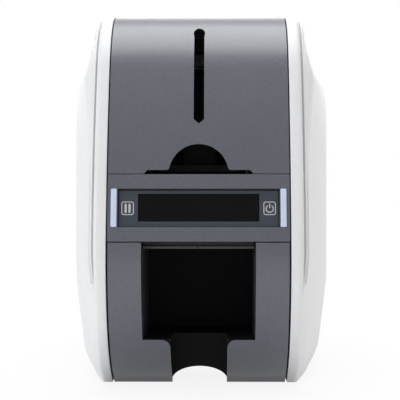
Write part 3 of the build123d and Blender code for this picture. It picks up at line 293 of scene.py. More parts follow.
class Nodes:
    """A node tree and the way that nodes are added to it."""

    def __init__(self, tree):
        self.tree = tree

    def fill(self, target, value):
        """A socket gets a number, a colour or a link."""
        if isinstance(value, Value):
            self.tree.links.new(value.socket, target)
        elif hasattr(value, "__len__") and len(value) == 3 and len(target.default_value) == 4:
            target.default_value = (*value, 1.0)
        else:
            target.default_value = value

    def add(self, kind, settings=None, sockets=None, output=0):
        """A node: its type, its settings (a ramp's stops among them), then its sockets."""
        node = self.tree.nodes.new(kind)
        for key, value in (settings or {}).items():
            if key == "stops":
                ramp = node.color_ramp
                while len(ramp.elements) < len(value):
                    ramp.elements.new(1.0)
                for element, (place, colour) in zip(ramp.elements, value):
                    element.position = place
                    element.color = (*colour, 1.0)
            else:
                setattr(node, key, value)
        for key, value in (sockets or {}).items():
            self.fill(node.inputs[key], value)
        return Value(self, node.outputs[output])

    def seen(self, straight, mirrored):
        """How white the background is to the camera and, second, in and through other surfaces."""
        camera, glossy, through = (
            self.add("ShaderNodeLightPath", output=f"Is {ray} Ray")
            for ray in ("Camera", "Glossy", "Transmission"))
        return (camera * straight + (glossy + through) * mirrored).clamped()


class Finish(Nodes):
    """A material under construction: its shader and the finishes' usual nodes."""

    def __init__(self, name, **constants):
        """Starts a material, with constants for the shader's sockets, such as coat_weight."""
        self.material = bpy.data.materials.new(name + "_finish")
        self.material.use_nodes = True
        super().__init__(self.material.node_tree)
        self.shader = self.tree.nodes["Principled BSDF"]
        for key, value in constants.items():
            self.set(key.replace("_", " ").title().replace("Ior", "IOR"), value)

    def set(self, socket, value):
        self.fill(self.shader.inputs[socket], value)

    def place(self):
        """The point's place on the printer, in metres."""
        return self.add("ShaderNodeTexCoord", output="Object")

    def axes(self, names="XYZ"):
        """The place's coordinates, in metres."""
        return axes_of(self, self.place(), names)

    def stretched(self, scale):
        sockets = {"Vector": self.place(), "Scale": scale}
        return self.add("ShaderNodeMapping", {"vector_type": "POINT"}, sockets)

    def noise(self, scale, detail=2.0, at=None, rough=0.5):
        sockets = {
            "Vector": at or self.place(),
            "Scale": scale, "Detail": detail, "Roughness": rough,
        }
        return self.add("ShaderNodeTexNoise", {}, sockets)

    def mixed(self, factor, first, second):
        """Colour between two colours."""
        sockets = {MIX_FACTOR: factor, MIX_FIRST: first, MIX_SECOND: second}
        return self.add("ShaderNodeMix", {"data_type": "RGBA"}, sockets, output=MIX_RESULT)

    def rough(self, noise, spread, least):
        """Roughness that rises with a noise, from the least by up to the spread."""
        self.set("Roughness", (noise * spread + least).clamped())

    def bump(self, height, strength, distance=GRAIN_DEPTH):
        sockets = {"Height": height, "Strength": strength, "Distance": distance}
        self.set("Normal", self.add("ShaderNodeBump", {}, sockets))


def axes_of(nodes, vector, names):
    """The named coordinates of a vector."""
    return [nodes.add("ShaderNodeSeparateXYZ", {}, {0: vector}, output=name) for name in names]


def shade(colour, factor):
    """A colour made lighter or darker."""
    return tuple(min(1.0, c * factor) for c in colour)


def moulded(name, colour, roughness, grain=0.05, speckle=0.03, mottle=0.04, specular=0.5,
            bay_black_painted_light=None):
    """Moulded plastic: spark-eroded grain, faint cloudiness and rubbed spots, and on the card bay's
    walls a given black, lifted as painted light for their shade.
    """
    finish = Finish(name, specular_ior_level=specular)
    cloud = finish.noise(38.0, 3.0)
    coarse = finish.noise(1000.0, 1.0)
    fine = finish.noise(2600.0, 2.0)
    rubbed = finish.noise(160.0, 4.0, rough=0.65)
    spread = mottle + speckle
    mottled = (cloud - 0.5) * (1.4 * mottle / spread)
    speckled = (coarse - 0.5) * (2.2 * speckle / spread)
    tone = (0.5 + mottled + speckled).clamped()
    base = finish.mixed(tone, shade(colour, 1 - spread), shade(colour, 1 + spread))
    # On the card bay's walls the colour turns to the given black, lifted as painted light for their
    # shade.
    if bay_black_painted_light:
        base = finish.mixed(bay_wall(finish), base, bay_black_painted_light)
    finish.set("Base Color", base)
    finish.rough(rubbed, 0.1, roughness - 0.05)
    finish.bump(fine + cloud * 0.2, grain)


def bay_wall(finish):
    """1 on the walls of the card bay, behind the band's skin, else 0."""
    x, y, z = finish.axes()
    back, up = y - y_at(NOSE_R), z - NOSE_R * MM
    within = (back * back + up * up).below(((NOSE_R - BAY_SKIN) * MM) ** 2)
    return within * abs(x).below(BAY_WALL)


def brushed(name, colour, roughness):
    """Rolled or turned metal with fine lines and faint stains."""
    finish = Finish(name, metallic=1.0)
    lines = finish.noise(1.0, 3.0, at=finish.stretched((6.0, 900.0, 900.0)))
    stains = finish.noise(45.0, 4.0, rough=0.6)
    tone = (stains * 0.6 + lines * 0.4).clamped()
    finish.set("Base Color", finish.mixed(tone, shade(colour, 0.86), shade(colour, 1.08)))
    finish.set("Roughness", (lines * 0.16 + stains * 0.1 + (roughness - 0.13)).clamped())
    finish.bump(lines, 0.08, LINE_DEPTH)


def rubber(name, colour):
    """Ground rubber with a dusty bloom."""
    finish = Finish(name, specular_ior_level=0.35)
    dust = finish.noise(90.0, 5.0, rough=0.7)
    grit = finish.noise(3200.0, 1.0)
    finish.set("Base Color", finish.mixed((dust - 0.25).clamped(), colour, shade(colour, 2.2)))
    finish.rough(dust, 0.2, 0.62)
    finish.bump(grit, 0.16)


def circuit_board(name):
    """Green solder mask with lighter tracks and rows of tinned pads."""
    finish = Finish(name, coat_weight=0.25)
    tracks = finish.add("ShaderNodeTexBrick", {"offset": 0.37}, {
        "Vector": finish.place(),
        "Color1": (0.012, 0.060, 0.024),
        "Color2": (0.018, 0.085, 0.034),
        "Mortar": (0.030, 0.125, 0.052),
        "Scale": 420.0,
        "Mortar Size": 0.035,
    })
    speck = finish.noise(700.0, 1.0)
    pads = speck.above(0.69)
    finish.set("Base Color", finish.mixed(pads, tracks, (0.55, 0.55, 0.52)))
    finish.set("Metallic", pads * 0.8)
    finish.set("Roughness", 0.42 - pads * 0.12)
    finish.bump(speck, 0.1)


def wound_film(name):
    """Glossy dye film with the three colour panels of the ribbon in turn."""
    finish = Finish(name, coat_weight=0.6)
    wave = finish.add("ShaderNodeTexWave", {"wave_type": "BANDS", "bands_direction": "Z"}, {
        "Vector": finish.place(), "Scale": 9.0, "Distortion": 0.4,
    }, output=1)
    dyes = [(0.0, (0.30, 0.21, 0.02)), (0.45, (0.24, 0.03, 0.10)), (1.0, (0.02, 0.09, 0.21))]
    ramp = finish.add("ShaderNodeValToRGB", {"stops": dyes}, {0: wave})
    layers = finish.noise(1.0, 2.0, at=finish.stretched((4000.0, 20.0, 20.0)))
    finish.set("Base Color", ramp)
    finish.rough(layers, 0.14, 0.14)
    finish.bump(layers, 0.06, LINE_DEPTH)


def dark_pane(name):
    """Tinted window: nearly black and smooth, with a faint smear."""
    finish = Finish(name, specular_ior_level=0.10)
    smear = finish.noise(55.0, 3.0, rough=0.6)
    tint = finish.mixed(smear, (0.0040, 0.0042, 0.0046), (0.0056, 0.0058, 0.0064))
    finish.set("Base Color", tint)
    finish.rough(smear, 0.06, 0.10)


def frosted(name, colour):
    """Frosted light guide, slightly cloudy and barely lit."""
    finish = Finish(name, specular_ior_level=0.5, emission_strength=0.03)
    cloud = finish.noise(120.0, 2.0)
    tint = finish.mixed(cloud, shade(colour, 0.94), shade(colour, 1.05))
    finish.set("Base Color", tint)
    finish.set("Emission Color", tint)
    finish.rough(cloud, 0.1, 0.28)
    finish.bump(finish.noise(1900.0, 1.0), 0.05)


def heat_sink(name):
    """Black anodised aluminium with worn fin tips."""
    finish = Finish(name, metallic=0.7)
    lines = finish.noise(1.0, 3.0, at=finish.stretched((700.0, 30.0, 30.0)))
    worn = (finish.noise(210.0, 3.0) - 0.42).clamped() * 2.0
    tone = finish.mixed(worn.clamped(), (0.035, 0.035, 0.038), (0.22, 0.22, 0.23))
    finish.set("Base Color", tone)
    finish.rough(lines, 0.2, 0.32)
    finish.bump(lines, 0.08)


def make_finishes(colours):
    """Makes every finish."""
    band = {"grain": 0.07, "speckle": 0.12, "mottle": 0.05, "specular": 0.9}
    dull = {"grain": 0.05, "specular": 0.12}
    black = colours.black
    moulded("white_shell", colours.white, 0.46, grain=0.035, speckle=0.01, mottle=0.02)
    moulded("grey_shell", colours.grey, 0.33, **band)
    # The bay's walls get black lifted 2.8 times, as painted light for the shade deep in the bay.
    moulded("lined_shell", colours.grey, 0.33, bay_black_painted_light=shade(black, 2.8), **band)
    moulded("black_plastic", shade(black, 0.6), 0.42, grain=0.08, specular=0.25)
    # Black lifted 2 times as painted light, for the card path's parts that lie in shade inside.
    moulded("inner_black", shade(black, 2.0), 0.62, **dull)
    # Black darkened to 0.6 as painted shade on the tray, which the overhead lamp lights.
    moulded("tray_black", shade(black, 0.6), 0.62, **dull)
    moulded("lip_grey", (0.062, 0.060, 0.060), 0.5, grain=0.05, specular=0.3)
    moulded("panel_blue", colours.panel, 0.38, grain=0.04, specular=0.4)
    dark_pane("window")
    frosted("light_guide", colours.guide)
    brushed("steel", (0.56, 0.57, 0.58), 0.36)
    rubber("rubber", (0.020, 0.020, 0.021))
    circuit_board("board")
    moulded("gear", (0.72, 0.70, 0.64), 0.38, grain=0.04)
    wound_film("film")
    rubber("belt", (0.030, 0.030, 0.032))
    heat_sink("heatsink")
    brushed("motor", (0.36, 0.37, 0.38), 0.34)
    moulded("ceramic", (0.62, 0.60, 0.56), 0.30, grain=0.05)
    moulded("symbols", colours.print_grey, 0.50, grain=0.02)


def finish_of(slot):
    """The finish of a slot. All are made the first time that one is asked for."""
    found = bpy.data.materials.get(slot + "_finish")
    if found is None:
        make_finishes(bpy.context.scene.printer_colours)
        found = bpy.data.materials[slot + "_finish"]
    return found


# ---- meshes ----

def y_at(depth):
    """Y in metres of a depth in millimetres behind the foremost point."""
    return (depth - DEPTH / 2) * MM


def new_piece(name, bm, body, slot, replaces=(), smooth=40.0, turned=True):
    """A piece from a bmesh: linked, smooth up to an angle, painted and riding on its body."""
    if turned:
        bmesh.ops.recalc_face_normals(bm, faces=bm.faces)
    mesh = bpy.data.meshes.new(name)
    bm.to_mesh(mesh)
    bm.free()
    mesh.polygons.foreach_set("use_smooth", [True] * len(mesh.polygons))
    mesh.set_sharp_from_angle(angle=math.radians(smooth))
    mesh.materials.append(finish_of(slot))
    piece = bpy.data.objects.new(name, mesh)
    bpy.context.scene.collection.objects.link(piece)
    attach(piece, body)
    if replaces:
        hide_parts(*replaces)
    return piece


def soften(obj, width):
    """Rounded moulded edges on a CAD node, by modifiers alone."""
    weld = obj.modifiers.new("Weld", "WELD")
    weld.merge_threshold = WELD_REACH
    flat = obj.modifiers.new("Flat faces", "DECIMATE")
    flat.decimate_type = "DISSOLVE"
    flat.angle_limit = math.radians(FLAT_ANGLE)
    bevel = obj.modifiers.new("Edges", "BEVEL")
    bevel.width = width
    bevel.segments = EDGE_SEGMENTS
    bevel.limit_method = "ANGLE"
    bevel.angle_limit = math.radians(EDGE_ANGLE)
    bevel.miter_outer = "MITER_ARC"
    level = obj.modifiers.new("Normals", "WEIGHTED_NORMAL")
    level.keep_sharp = False


def dress(slot, names, width=0.0):
    """CAD nodes get their finish and, where they show, rounded edges."""
    for name in names:
        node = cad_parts[name]
        node.data.materials.clear()
        node.data.materials.append(finish_of(slot))
        if width:
            soften(node, width)


def profile():
    """Stations round the casing's side view: depth, height and outward normal, in millimetres."""
    start = math.radians(NOSE_START)
    foot_z = NOSE_R - NOSE_R * math.cos(start)
    foot_d = NOSE_R - NOSE_R * math.sin(start)
    ground_d = foot_d + (foot_z - GROUND) / math.tan(start)
    cut = BOTTOM_CORNER_R * math.tan(start / 2)
    stations = []
    place = Vector((ground_d + cut, GROUND))
    heading = math.pi

    def line(length):
        nonlocal place
        count = max(1, round(length / LINE_STEP))
        way = Vector((math.cos(heading), math.sin(heading)))
        for i in range(count):
            stations.append((place + way * length * i / count, heading))
        place = place + way * length

    def arc(radius, turn):
        nonlocal place, heading
        count = max(3, round(radius * math.radians(turn) / ARC_STEP))
        centre = place + radius * Vector((math.sin(heading), -math.cos(heading)))
        for i in range(count):
            angle = heading - math.radians(turn) * i / count
            stations.append((centre + radius * Vector((-math.sin(angle), math.cos(angle))), angle))
        heading -= math.radians(turn)
        place = centre + radius * Vector((-math.sin(heading), math.cos(heading)))

    arc(BOTTOM_CORNER_R, NOSE_START)
    line((Vector((foot_d, foot_z)) - place).length)
    for radius, turn in PROFILE_ARCS:
        arc(radius, turn)
    line((REAR_CORNER_DEPTH - place.x) / math.cos(heading))
    arc(REAR_R, REAR_TURN)
    line(place.y - GROUND - BOTTOM_CORNER_R)
    arc(BOTTOM_CORNER_R, BOTTOM_CORNER_TURN)
    line(place.x - ground_d - cut)
    return [(p.x, p.y, -math.sin(a), math.cos(a)) for p, a in stations]


def eased(x, x0, x1):
    """0 below x0, 1 above x1 and a smooth rise between."""
    t = min(1.0, max(0.0, (x - x0) / (x1 - x0)))
    return t * t * (3 - 2 * t)


def along(x, table):
    """Value at x on straight runs through a table of points."""
    for (x0, v0), (x1, v1) in zip(table, table[1:]):
        if x <= x1:
            return v0 + (v1 - v0) * max(0.0, x - x0) / (x1 - x0)
    return table[-1][1]


def smoothed(x, table):
    """Value at x on a table's runs, with their corners rounded."""
    return sum(along(x + dx, table) for dx in SMOOTHED_OVER) / len(SMOOTHED_OVER)


def belly_x(depth, z, widest):
    """Half width of the belly at a place on the side view, in millimetres."""
    end, end_x = (BELLY_FRONT, BELLY_FRONT_X) if depth < BELLY_WIDEST else (DEPTH, BELLY_REAR_X)
    plan = widest - (widest - end_x) * ((depth - BELLY_WIDEST) / (end - BELLY_WIDEST)) ** 2
    plan -= smoothed(z, BELLY_DRAW)
    aim_x, aim_z, reach = SHOULDER_AIM
    share = (reach + min(depth, SHOULDER_DEPTH)) / (reach + SHOULDER_DEPTH)
    level = aim_z + (z - aim_z) / share
    shoulder = aim_x + (smoothed(level, SHOULDER) - aim_x) * share
    blend = SHOULDER_SOFT * math.log1p(math.exp(-abs(plan - shoulder) / SHOULDER_SOFT))
    return min(plan, shoulder) - blend


def inward(place, normal, inset):
    """Place on the side view below the outline: square to it at first, then towards the middle."""
    square = min(inset, SQUARE)
    place = place - normal * square
    if inset > square:
        aim = (MIDDLE - place).normalized()
        place = place + aim * ((inset - square) / max(LEAST_SLANT, -aim.dot(normal)))
    return place


def quarter(t):
    """Height of a quarter circle of radius 1 at t, flat from there on."""
    return math.sqrt(1 - (1 - min(1.0, t)) ** 2)


def cover_section(place, normal, sizes):
    """Points across a cover at one station, from the rim to the belly: x, depth and height.

    Up to CREASE_HEIGHTS the belly rises straight from the rim. Above, a groove runs between them.
    """
    inner, outer, rounding = sizes.rim_in / MM, sizes.rim_out / MM, sizes.rim_round / MM
    widest, groove = sizes.widest / MM, sizes.crease / MM
    creased = eased(place.y, *CREASE_HEIGHTS)
    front = max(0.0, -normal.x)
    merge_r, lip_r = (radius + gain * front for radius, gain in (MERGE_R, LIP_R))
    lip = groove - LIP_DROP

    def belly_at(inset):
        return belly_x(*inward(place, normal, inset), widest)

    turns = [math.pi / 2 * i / RIM_STEPS for i in range(RIM_STEPS + 1)]
    rim = [(outer - rounding * (1 - math.sin(a)), rounding * (1 - math.cos(a))) for a in turns]
    rim += [(outer + across, groove + up) for across, up in GROOVE_SIDE]
    edge_x = outer + GROOVE_WIDTH
    sides = []
    for t in BELOW_LIP:
        swollen = edge_x + (belly_at(lip + t) - edge_x) * quarter(t / lip_r)
        sides.append((max(edge_x, swollen), lip + t))
    even = [lip * i / len(rim) for i in range(len(rim))] + [inset for _, inset in sides]
    points = [(inner + across, inset) for across, inset in RIM_INSIDE]
    start = inner + MERGED_START
    for (x, inset), smooth in zip(rim + sides, even):
        merged = start + (belly_at(smooth) - start) * quarter(smooth / merge_r)
        points.append((merged + (x - merged) * creased, smooth + (inset - smooth) * creased))
    return [(x, *inward(place, normal, inset)) for x, inset in points]


def cover_bosses(side, sizes):
    """Hollow posts for the cover's screws, from the side plate out to the cover's wall."""
    bm = bmesh.new()
    for depth, z in BOSSES:
        wall_x = belly_x(depth, z, sizes.widest / MM) - 0.5 * sizes.wall / MM
        loops = []
        for radius, x in ((BOSS_R, wall_x),) + BOSS_OUTLINE:
            turns = (math.tau * i / BOSS_SIDES for i in range(BOSS_SIDES))
            spots = ((depth + radius * math.cos(a), z + radius * math.sin(a)) for a in turns)
            loops.append([bm.verts.new((side * x * MM, y_at(d), h * MM)) for d, h in spots])
        for near, far in zip(loops, loops[1:]):
            for i in range(BOSS_SIDES):
                bm.faces.new((near[i], near[i - 1], far[i - 1], far[i]))
        bm.faces.new(loops[-1])
    name = "right_bosses" if side > 0 else "left_bosses"
    new_piece(name, bm, "chassis", "white_shell")


def side_cover(side, sizes):
    """One white cover: rim, groove, belly and the wall behind them."""
    bm = bmesh.new()
    widest = sizes.widest / MM
    rows = []
    for depth, z, nd, nz in profile():
        section = cover_section(Vector((depth, z)), Vector((nd, nz)), sizes)
        last = Vector(section[-1][1:])
        for share in SHARES:
            d, h = MIDDLE + (last - MIDDLE) * share
            section.append((belly_x(d, h, widest), d, h))
        places = ((side * x * MM, y_at(d), max(GROUND, h) * MM) for x, d, h in section)
        rows.append([bm.verts.new(place) for place in places])
    hub = bm.verts.new((side * belly_x(*MIDDLE, widest) * MM, y_at(MIDDLE.x), MIDDLE.y * MM))
    for row, after in zip(rows, rows[1:] + rows[:1]):
        for i in range(len(row) - 1):
            bm.faces.new((row[i], after[i], after[i + 1], row[i + 1]))
        bm.faces.new((row[-1], after[-1], hub))
    name = "right_cover" if side > 0 else "left_cover"
    node = "right_side_cover" if side > 0 else "left_side_cover"
    piece = new_piece(name, bm, "chassis", "white_shell", (node,), smooth=60.0, turned=False)
    # The rings all run the same way round, so one face tells whether the cover is inside out.
    if piece.data.polygons[-1].normal.x * side < 0:
        piece.data.flip_normals()
    wall = piece.modifiers.new("Wall", "SOLIDIFY")
    wall.thickness = sizes.wall
    wall.offset = -1.0


def panel_point(x, v, n):
    """Place in metres of a point on the control panel's plane, given in millimetres."""
    lean = math.radians(PANEL_LEAN)
    depth = PANEL_DEPTH + v * math.sin(lean) - n * math.cos(lean)
    return Vector((x * MM, y_at(depth), (PANEL_Z + v * math.cos(lean) + n * math.sin(lean)) * MM))


def rounded_square(half, rise, radius):
    """Outline of a rounded rectangle about the origin."""
    points = []
    for cx, cy, start in ((1, 1, 0), (-1, 1, 90), (-1, -1, 180), (1, -1, 270)):
        for i in range(CORNER_STEPS + 1):
            a = math.radians(start + 90 * i / CORNER_STEPS)
            across, up = radius * math.cos(a), radius * math.sin(a)
            points.append((cx * (half - radius) + across, cy * (rise - radius) + up))
    return points


def raised_line(bm, outline, inner, x, low, high, closed=True):
    """Raised line between two outlines of as many points on the panel's plane."""
    def loop(points, n):
        return [bm.verts.new(panel_point(x + px, py, n)) for px, py in points]

    outer_low, outer_high = loop(outline, low), loop(outline, high)
    inner_high, inner_low = loop(inner, high), loop(inner, low)
    count = len(outline)
    for i in range(count if closed else count - 1):
        j = (i + 1) % count
        for a, b in ((outer_low, outer_high), (outer_high, inner_high), (inner_high, inner_low)):
            bm.faces.new((a[i], a[j], b[j], b[i]))
    if not closed:
        for i in (0, -1):
            bm.faces.new((outer_low[i], outer_high[i], inner_high[i], inner_low[i]))


def bar_mark(bm, x, v0, v1, half, low, high):
    """Raised bar with rounded ends on the panel's plane."""
    ends = []
    for middle, start in ((v1 - half, 0), (v0 + half, 180)):
        turns = (math.radians(start + a) for a in range(0, 180 + BAR_END_STEP, BAR_END_STEP))
        ends += [(half * math.cos(a), middle + half * math.sin(a)) for a in turns]
    lower = [bm.verts.new(panel_point(x + px, py, low)) for px, py in ends]
    upper = [bm.verts.new(panel_point(x + px, py, high)) for px, py in ends]
    bm.faces.new(upper)
    for i in range(len(ends)):
        j = (i + 1) % len(ends)
        bm.faces.new((lower[i], lower[j], upper[j], upper[i]))


# ---- operators ----

class CARDPRINTER_OT_stage(bpy.types.Operator):
    """Make the pale floor, the soft lamps and the camera"""
    bl_idname = "card_printer.stage"
    bl_label = "Stage"

    def execute(self, context):
        settings = context.scene.printer_stage
        self.floor()
        self.room(context.scene, settings)
        middle = (0.0, 0.0, 0.1)
        overhead, fill = settings.overhead, settings.fill
        for name, place, aim, size, power, colour in (
            ("overhead", (0.0, 0.22, 1.55), (0.0, 0.22, 0.0), (1.3, 1.35), overhead, NEUTRAL),
            ("left_fill", (-1.25, -1.15, 0.24), middle, (0.9, 0.9), fill, COOL),
            ("right_fill", (1.6, -0.7, 0.45), middle, (0.7, 0.7), RIGHT_SHARE * fill, WARM),
            ("back_light", (0.0, 2.3, 0.85), (0.0, 0.0, 0.85), (1.8, 1.1), BACK_POWER, NEUTRAL),
        ):
            self.lamp(name, place, aim, size, power, colour)
        camera = bpy.data.cameras.new("camera")
        camera.lens = settings.lens
        camera.sensor_width = 36
        camera.clip_start = 0.05
        holder = bpy.data.objects.new("camera", camera)
        holder.location = settings.camera_place
        holder.rotation_euler = (math.radians(90), 0, settings.camera_turn)
        context.scene.collection.objects.link(holder)
        context.scene.camera = holder
        context.scene.view_settings.view_transform = "Standard"
        return {"FINISHED"}

    def floor(self):
        """White paper floor that shows as white and keeps the contact shadow."""
        mesh = bpy.data.meshes.new("floor")
        corners = ((-1, -1), (1, -1), (1, 1), (-1, 1))
        places = [(x * FLOOR_HALF, y * FLOOR_HALF, 0) for x, y in corners]
        mesh.from_pydata(places, [], [(0, 1, 2, 3)])
        obj = bpy.data.objects.new("floor", mesh)
        bpy.context.scene.collection.objects.link(obj)
        finish = Finish("paper", roughness=0.9, specular_ior_level=0.1)
        fibres = finish.noise(60.0, 3.0)
        finish.set("Base Color", finish.mixed(fibres, (0.86, 0.86, 0.86), (0.89, 0.89, 0.89)))
        x, y = finish.axes("XY")
        far = ((x * x + y * y) * FLOOR_RISE).clamped()
        straight, mirrored = (far * (1 - least) + least for least in (FLOOR_WHITE, FLOOR_MIRROR))
        seen = finish.seen(straight, mirrored)
        glow = finish.add("ShaderNodeEmission", {}, {"Color": NEUTRAL, "Strength": 1.0})
        paper = Value(finish, finish.shader.outputs[0])
        surface = finish.add("ShaderNodeMixShader", {}, {0: seen, 1: paper, 2: glow})
        output = finish.tree.nodes["Material Output"]
        finish.tree.links.new(surface.socket, output.inputs["Surface"])
        mesh.materials.append(finish.material)

    def room(self, scene, settings):
        """Even light from all sides, seen as white, with a dim side in front of the printer."""
        world = bpy.data.worlds.new("room")
        scene.world = world
        world.use_nodes = True
        sky = Nodes(world.node_tree)
        back, up = axes_of(sky, sky.add("ShaderNodeTexCoord", output="Generated"), "YZ")
        beyond = (back * 2.0 + up * 1.2 + 0.9).clamped()
        even, white = (
            sky.add("ShaderNodeBackground", {}, {"Color": NEUTRAL, "Strength": strength})
            for strength in (settings.room, 1.0))
        mixed = sky.add("ShaderNodeMixShader", {}, {0: sky.seen(1.0, beyond), 1: even, 2: white})
        sky.tree.links.new(mixed.socket, sky.tree.nodes["World Output"].inputs["Surface"])

    def lamp(self, name, place, aim, size, power, colour):
        """Soft lamp at a place, turned to its aim."""
        data = bpy.data.lights.new(name, "AREA")
        data.shape = "RECTANGLE"
        data.size, data.size_y = size
        data.energy = power
        data.color = colour
        obj = bpy.data.objects.new(name, data)
        obj.location = place
        obj.rotation_euler = (Vector(aim) - Vector(place)).to_track_quat("-Z", "Y").to_euler()
        bpy.context.scene.collection.objects.link(obj)


class CARDPRINTER_OT_side_covers(bpy.types.Operator):
    """Make the two white side covers"""
    bl_idname = "card_printer.side_covers"
    bl_label = "Side covers"

    def execute(self, context):
        for side in (-1, 1):
            side_cover(side, context.scene.printer_sizes)
            cover_bosses(side, context.scene.printer_sizes)
        return {"FINISHED"}


class CARDPRINTER_OT_band(bpy.types.Operator):
    """Finish the grey band: hopper cover, lid, bezel, hopper and back"""
    bl_idname = "card_printer.band"
    bl_label = "Grey band"

    def execute(self, context):
        edge = context.scene.printer_sizes.edge
        dress("grey_shell", ("hopper_cover", "top_cover", "control_bezel", "rear_panel"), edge)
        # The hopper's grey turns to black on the bay's walls, lifted as painted light for their
        # shade.
        dress("lined_shell", ("output_hopper",), edge)
        dress("grey_shell", ("lid_latch",), edge * 0.7)
        dress("lip_grey", ("exit_lip",), edge * 0.7)
        return {"FINISHED"}


class CARDPRINTER_OT_control_panel(bpy.types.Operator):
    """Finish the panel, its window and light bars, and make the key symbols"""
    bl_idname = "card_printer.control_panel"
    bl_label = "Control panel"

    def execute(self, context):
        dress("panel_blue", ("display_panel",), 0.6 * MM)
        dress("panel_blue", ("pause_button", "power_button"), 0.25 * MM)
        dress("window", ("display_window",), 0.15 * MM)
        dress("light_guide", ("light_bars",), 0.5 * MM)
        dress("black_plastic", ("display_module",))
        dress("board", ("panel_board",))
        # Painted shadow round the panel's plate, as a black strip.
        self.painted_shadow_strip()
        self.symbols()
        return {"FINISHED"}

    def painted_shadow_strip(self):
        """Black strip round the panel's plate, painted as the bezel's shadow, widest under the
        upper edge.
        """
        bm = bmesh.new()
        raised_line(bm, SHADOW_STRIP_OUTLINE, SHADOW_STRIP_INSIDE, 0.0, *SHADOW_STRIP_HEIGHTS)
        # The strip is black plastic standing in for the bezel's shadow on the panel.
        new_piece("panel_painted_shadow", bm, "chassis", "black_plastic")

    def symbols(self):
        """Raised pause and power symbols in their rounded frames."""
        frame_outside, frame_inside = rounded_square(*FRAME_OUTSIDE), rounded_square(*FRAME_INSIDE)
        arc = [math.radians(90 + POWER_GAP + i * (360 - 2 * POWER_GAP) / POWER_STEPS)
               for i in range(POWER_STEPS + 1)]
        outside, inside = (
            [(radius * math.cos(a), radius * math.sin(a) - POWER_DROP) for a in arc]
            for radius in POWER_RING)
        for side, name in ((-1, "pause"), (1, "power")):
            x = side * KEY_X
            bm = bmesh.new()
            raised_line(bm, frame_outside, frame_inside, x, *SYMBOL_HEIGHTS)
            if name == "pause":
                for shift in (-PAUSE_SHIFT, PAUSE_SHIFT):
                    bar_mark(bm, x + shift, *PAUSE_BAR, *SYMBOL_HEIGHTS)
            else:
                raised_line(bm, outside, inside, x, *SYMBOL_HEIGHTS, closed=False)
                bar_mark(bm, x, *POWER_BAR, *SYMBOL_HEIGHTS)
            new_piece(name + "_symbol", bm, name + "_button", "symbols")


class CARDPRINTER_OT_output_bay(bpy.types.Operator):
    """Finish the black tray in the output hopper, darkened as painted shade"""
    bl_idname = "card_printer.output_bay"
    bl_label = "Output bay"

    def execute(self, context):
        # The tray's black is darkened as painted shade for the overhead light on it.
        dress("tray_black", ("hopper_tray",), 0.3 * MM)
        return {"FINISHED"}


class CARDPRINTER_OT_chassis(bpy.types.Operator):
    """Finish the plates, bars, pins, tray, feet and screws"""
    bl_idname = "card_printer.chassis"
    bl_label = "Chassis"

    def execute(self, context):
        dress("steel", ("left_side_plate", "right_side_plate", "base_tray"), 0.2 * MM)
        dress("steel", ("tie_bars", "hinge_pins", "rear_screws"), 0.2 * MM)
        dress("black_plastic", ("hinge_bridges",), 0.3 * MM)
        dress("rubber", ("rubber_feet",), 0.4 * MM)
        return {"FINISHED"}


class CARDPRINTER_OT_card_path(bpy.types.Operator):
    """Finish the card guides, the magazine, the weight, the rollers and the drive"""
    bl_idname = "card_printer.card_path"
    bl_label = "Card path"

    def execute(self, context):
        # These parts' black is lifted as painted light for the shade inside the printer.
        dress("inner_black", ("card_guides", "input_magazine"), 0.3 * MM)
        dress("inner_black", ("card_weight",), 0.4 * MM)
        rollers = [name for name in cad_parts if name.endswith("_roller")]
        dress("rubber", [name for name in rollers if "pinch" not in name], 0.2 * MM)
        dress("steel", [name for name in rollers if "pinch" in name], 0.2 * MM)
        dress("belt", ("drive_belt",))
        dress("gear", ("feed_gear", "exit_gear", "motor_pulley"))
        dress("motor", ("main_motor", "small_motors"), 0.4 * MM)
        dress("black_plastic", ("card_turner",), 0.3 * MM)
        dress("gear", ("turner_gear", "turner_pinion"))
        return {"FINISHED"}


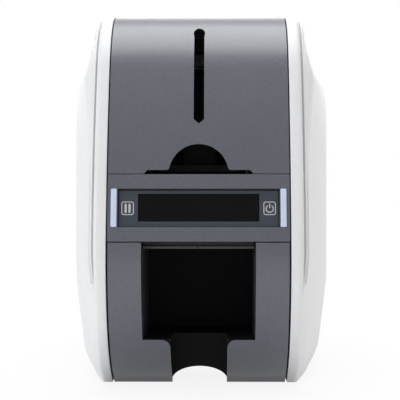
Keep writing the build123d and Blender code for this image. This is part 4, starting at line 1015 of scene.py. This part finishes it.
class CARDPRINTER_OT_ribbon(bpy.types.Operator):
    """Finish the ribbon, its cassette and gears, and the print head"""
    bl_idname = "card_printer.ribbon"
    bl_label = "Ribbon and print head"

    def execute(self, context):
        dress("film", ("supply_spool", "takeup_spool", "ribbon_film"))
        dress("gear", ("ribbon_cassette",), 0.3 * MM)
        dress("gear", ("takeup_gear", "ribbon_pinion"))
        dress("ceramic", ("print_head",), 0.2 * MM)
        dress("black_plastic", ("head_bracket",), 0.3 * MM)
        dress("heatsink", ("head_heatsink",), 0.1 * MM)
        return {"FINISHED"}


class CARDPRINTER_OT_electronics(bpy.types.Operator):
    """Finish the board, the ports and the fan"""
    bl_idname = "card_printer.electronics"
    bl_label = "Electronics"

    def execute(self, context):
        dress("board", ("main_board",))
        dress("steel", ("data_ports",), 0.2 * MM)
        dress("black_plastic", ("power_inlet", "fan_frame", "fan_rotor"), 0.2 * MM)
        return {"FINISHED"}


OPERATORS = (
    CARDPRINTER_OT_stage,
    CARDPRINTER_OT_side_covers,
    CARDPRINTER_OT_band,
    CARDPRINTER_OT_control_panel,
    CARDPRINTER_OT_output_bay,
    CARDPRINTER_OT_chassis,
    CARDPRINTER_OT_card_path,
    CARDPRINTER_OT_ribbon,
    CARDPRINTER_OT_electronics,
)


class CARDPRINTER_PT_sidebar(bpy.types.Panel):
    """Steps that dress the card printer"""
    bl_idname = "CARDPRINTER_PT_sidebar"
    bl_label = "Card Printer"
    bl_space_type = "VIEW_3D"
    bl_region_type = "UI"
    bl_category = "Card Printer"

    def draw(self, context):
        column = self.layout.column()
        for operator in OPERATORS:
            column.operator(operator.bl_idname)


GROUPS = {
    "printer_sizes": PrinterSizes,
    "printer_colours": PrinterColours,
    "printer_stage": StageSettings,
}


def register():
    for group in GROUPS.values():
        bpy.utils.register_class(group)
    for name, group in GROUPS.items():
        setattr(bpy.types.Scene, name, PointerProperty(type=group))
    for operator in OPERATORS:
        bpy.utils.register_class(operator)
    bpy.utils.register_class(CARDPRINTER_PT_sidebar)


def unregister():
    bpy.utils.unregister_class(CARDPRINTER_PT_sidebar)
    for operator in reversed(OPERATORS):
        bpy.utils.unregister_class(operator)
    for name, group in GROUPS.items():
        delattr(bpy.types.Scene, name)
        bpy.utils.unregister_class(group)


def main():
    register()
    for operator in OPERATORS:
        group, action = operator.bl_idname.split(".")
        getattr(getattr(bpy.ops, group), action)()


if __name__ == "__main__":
    main()
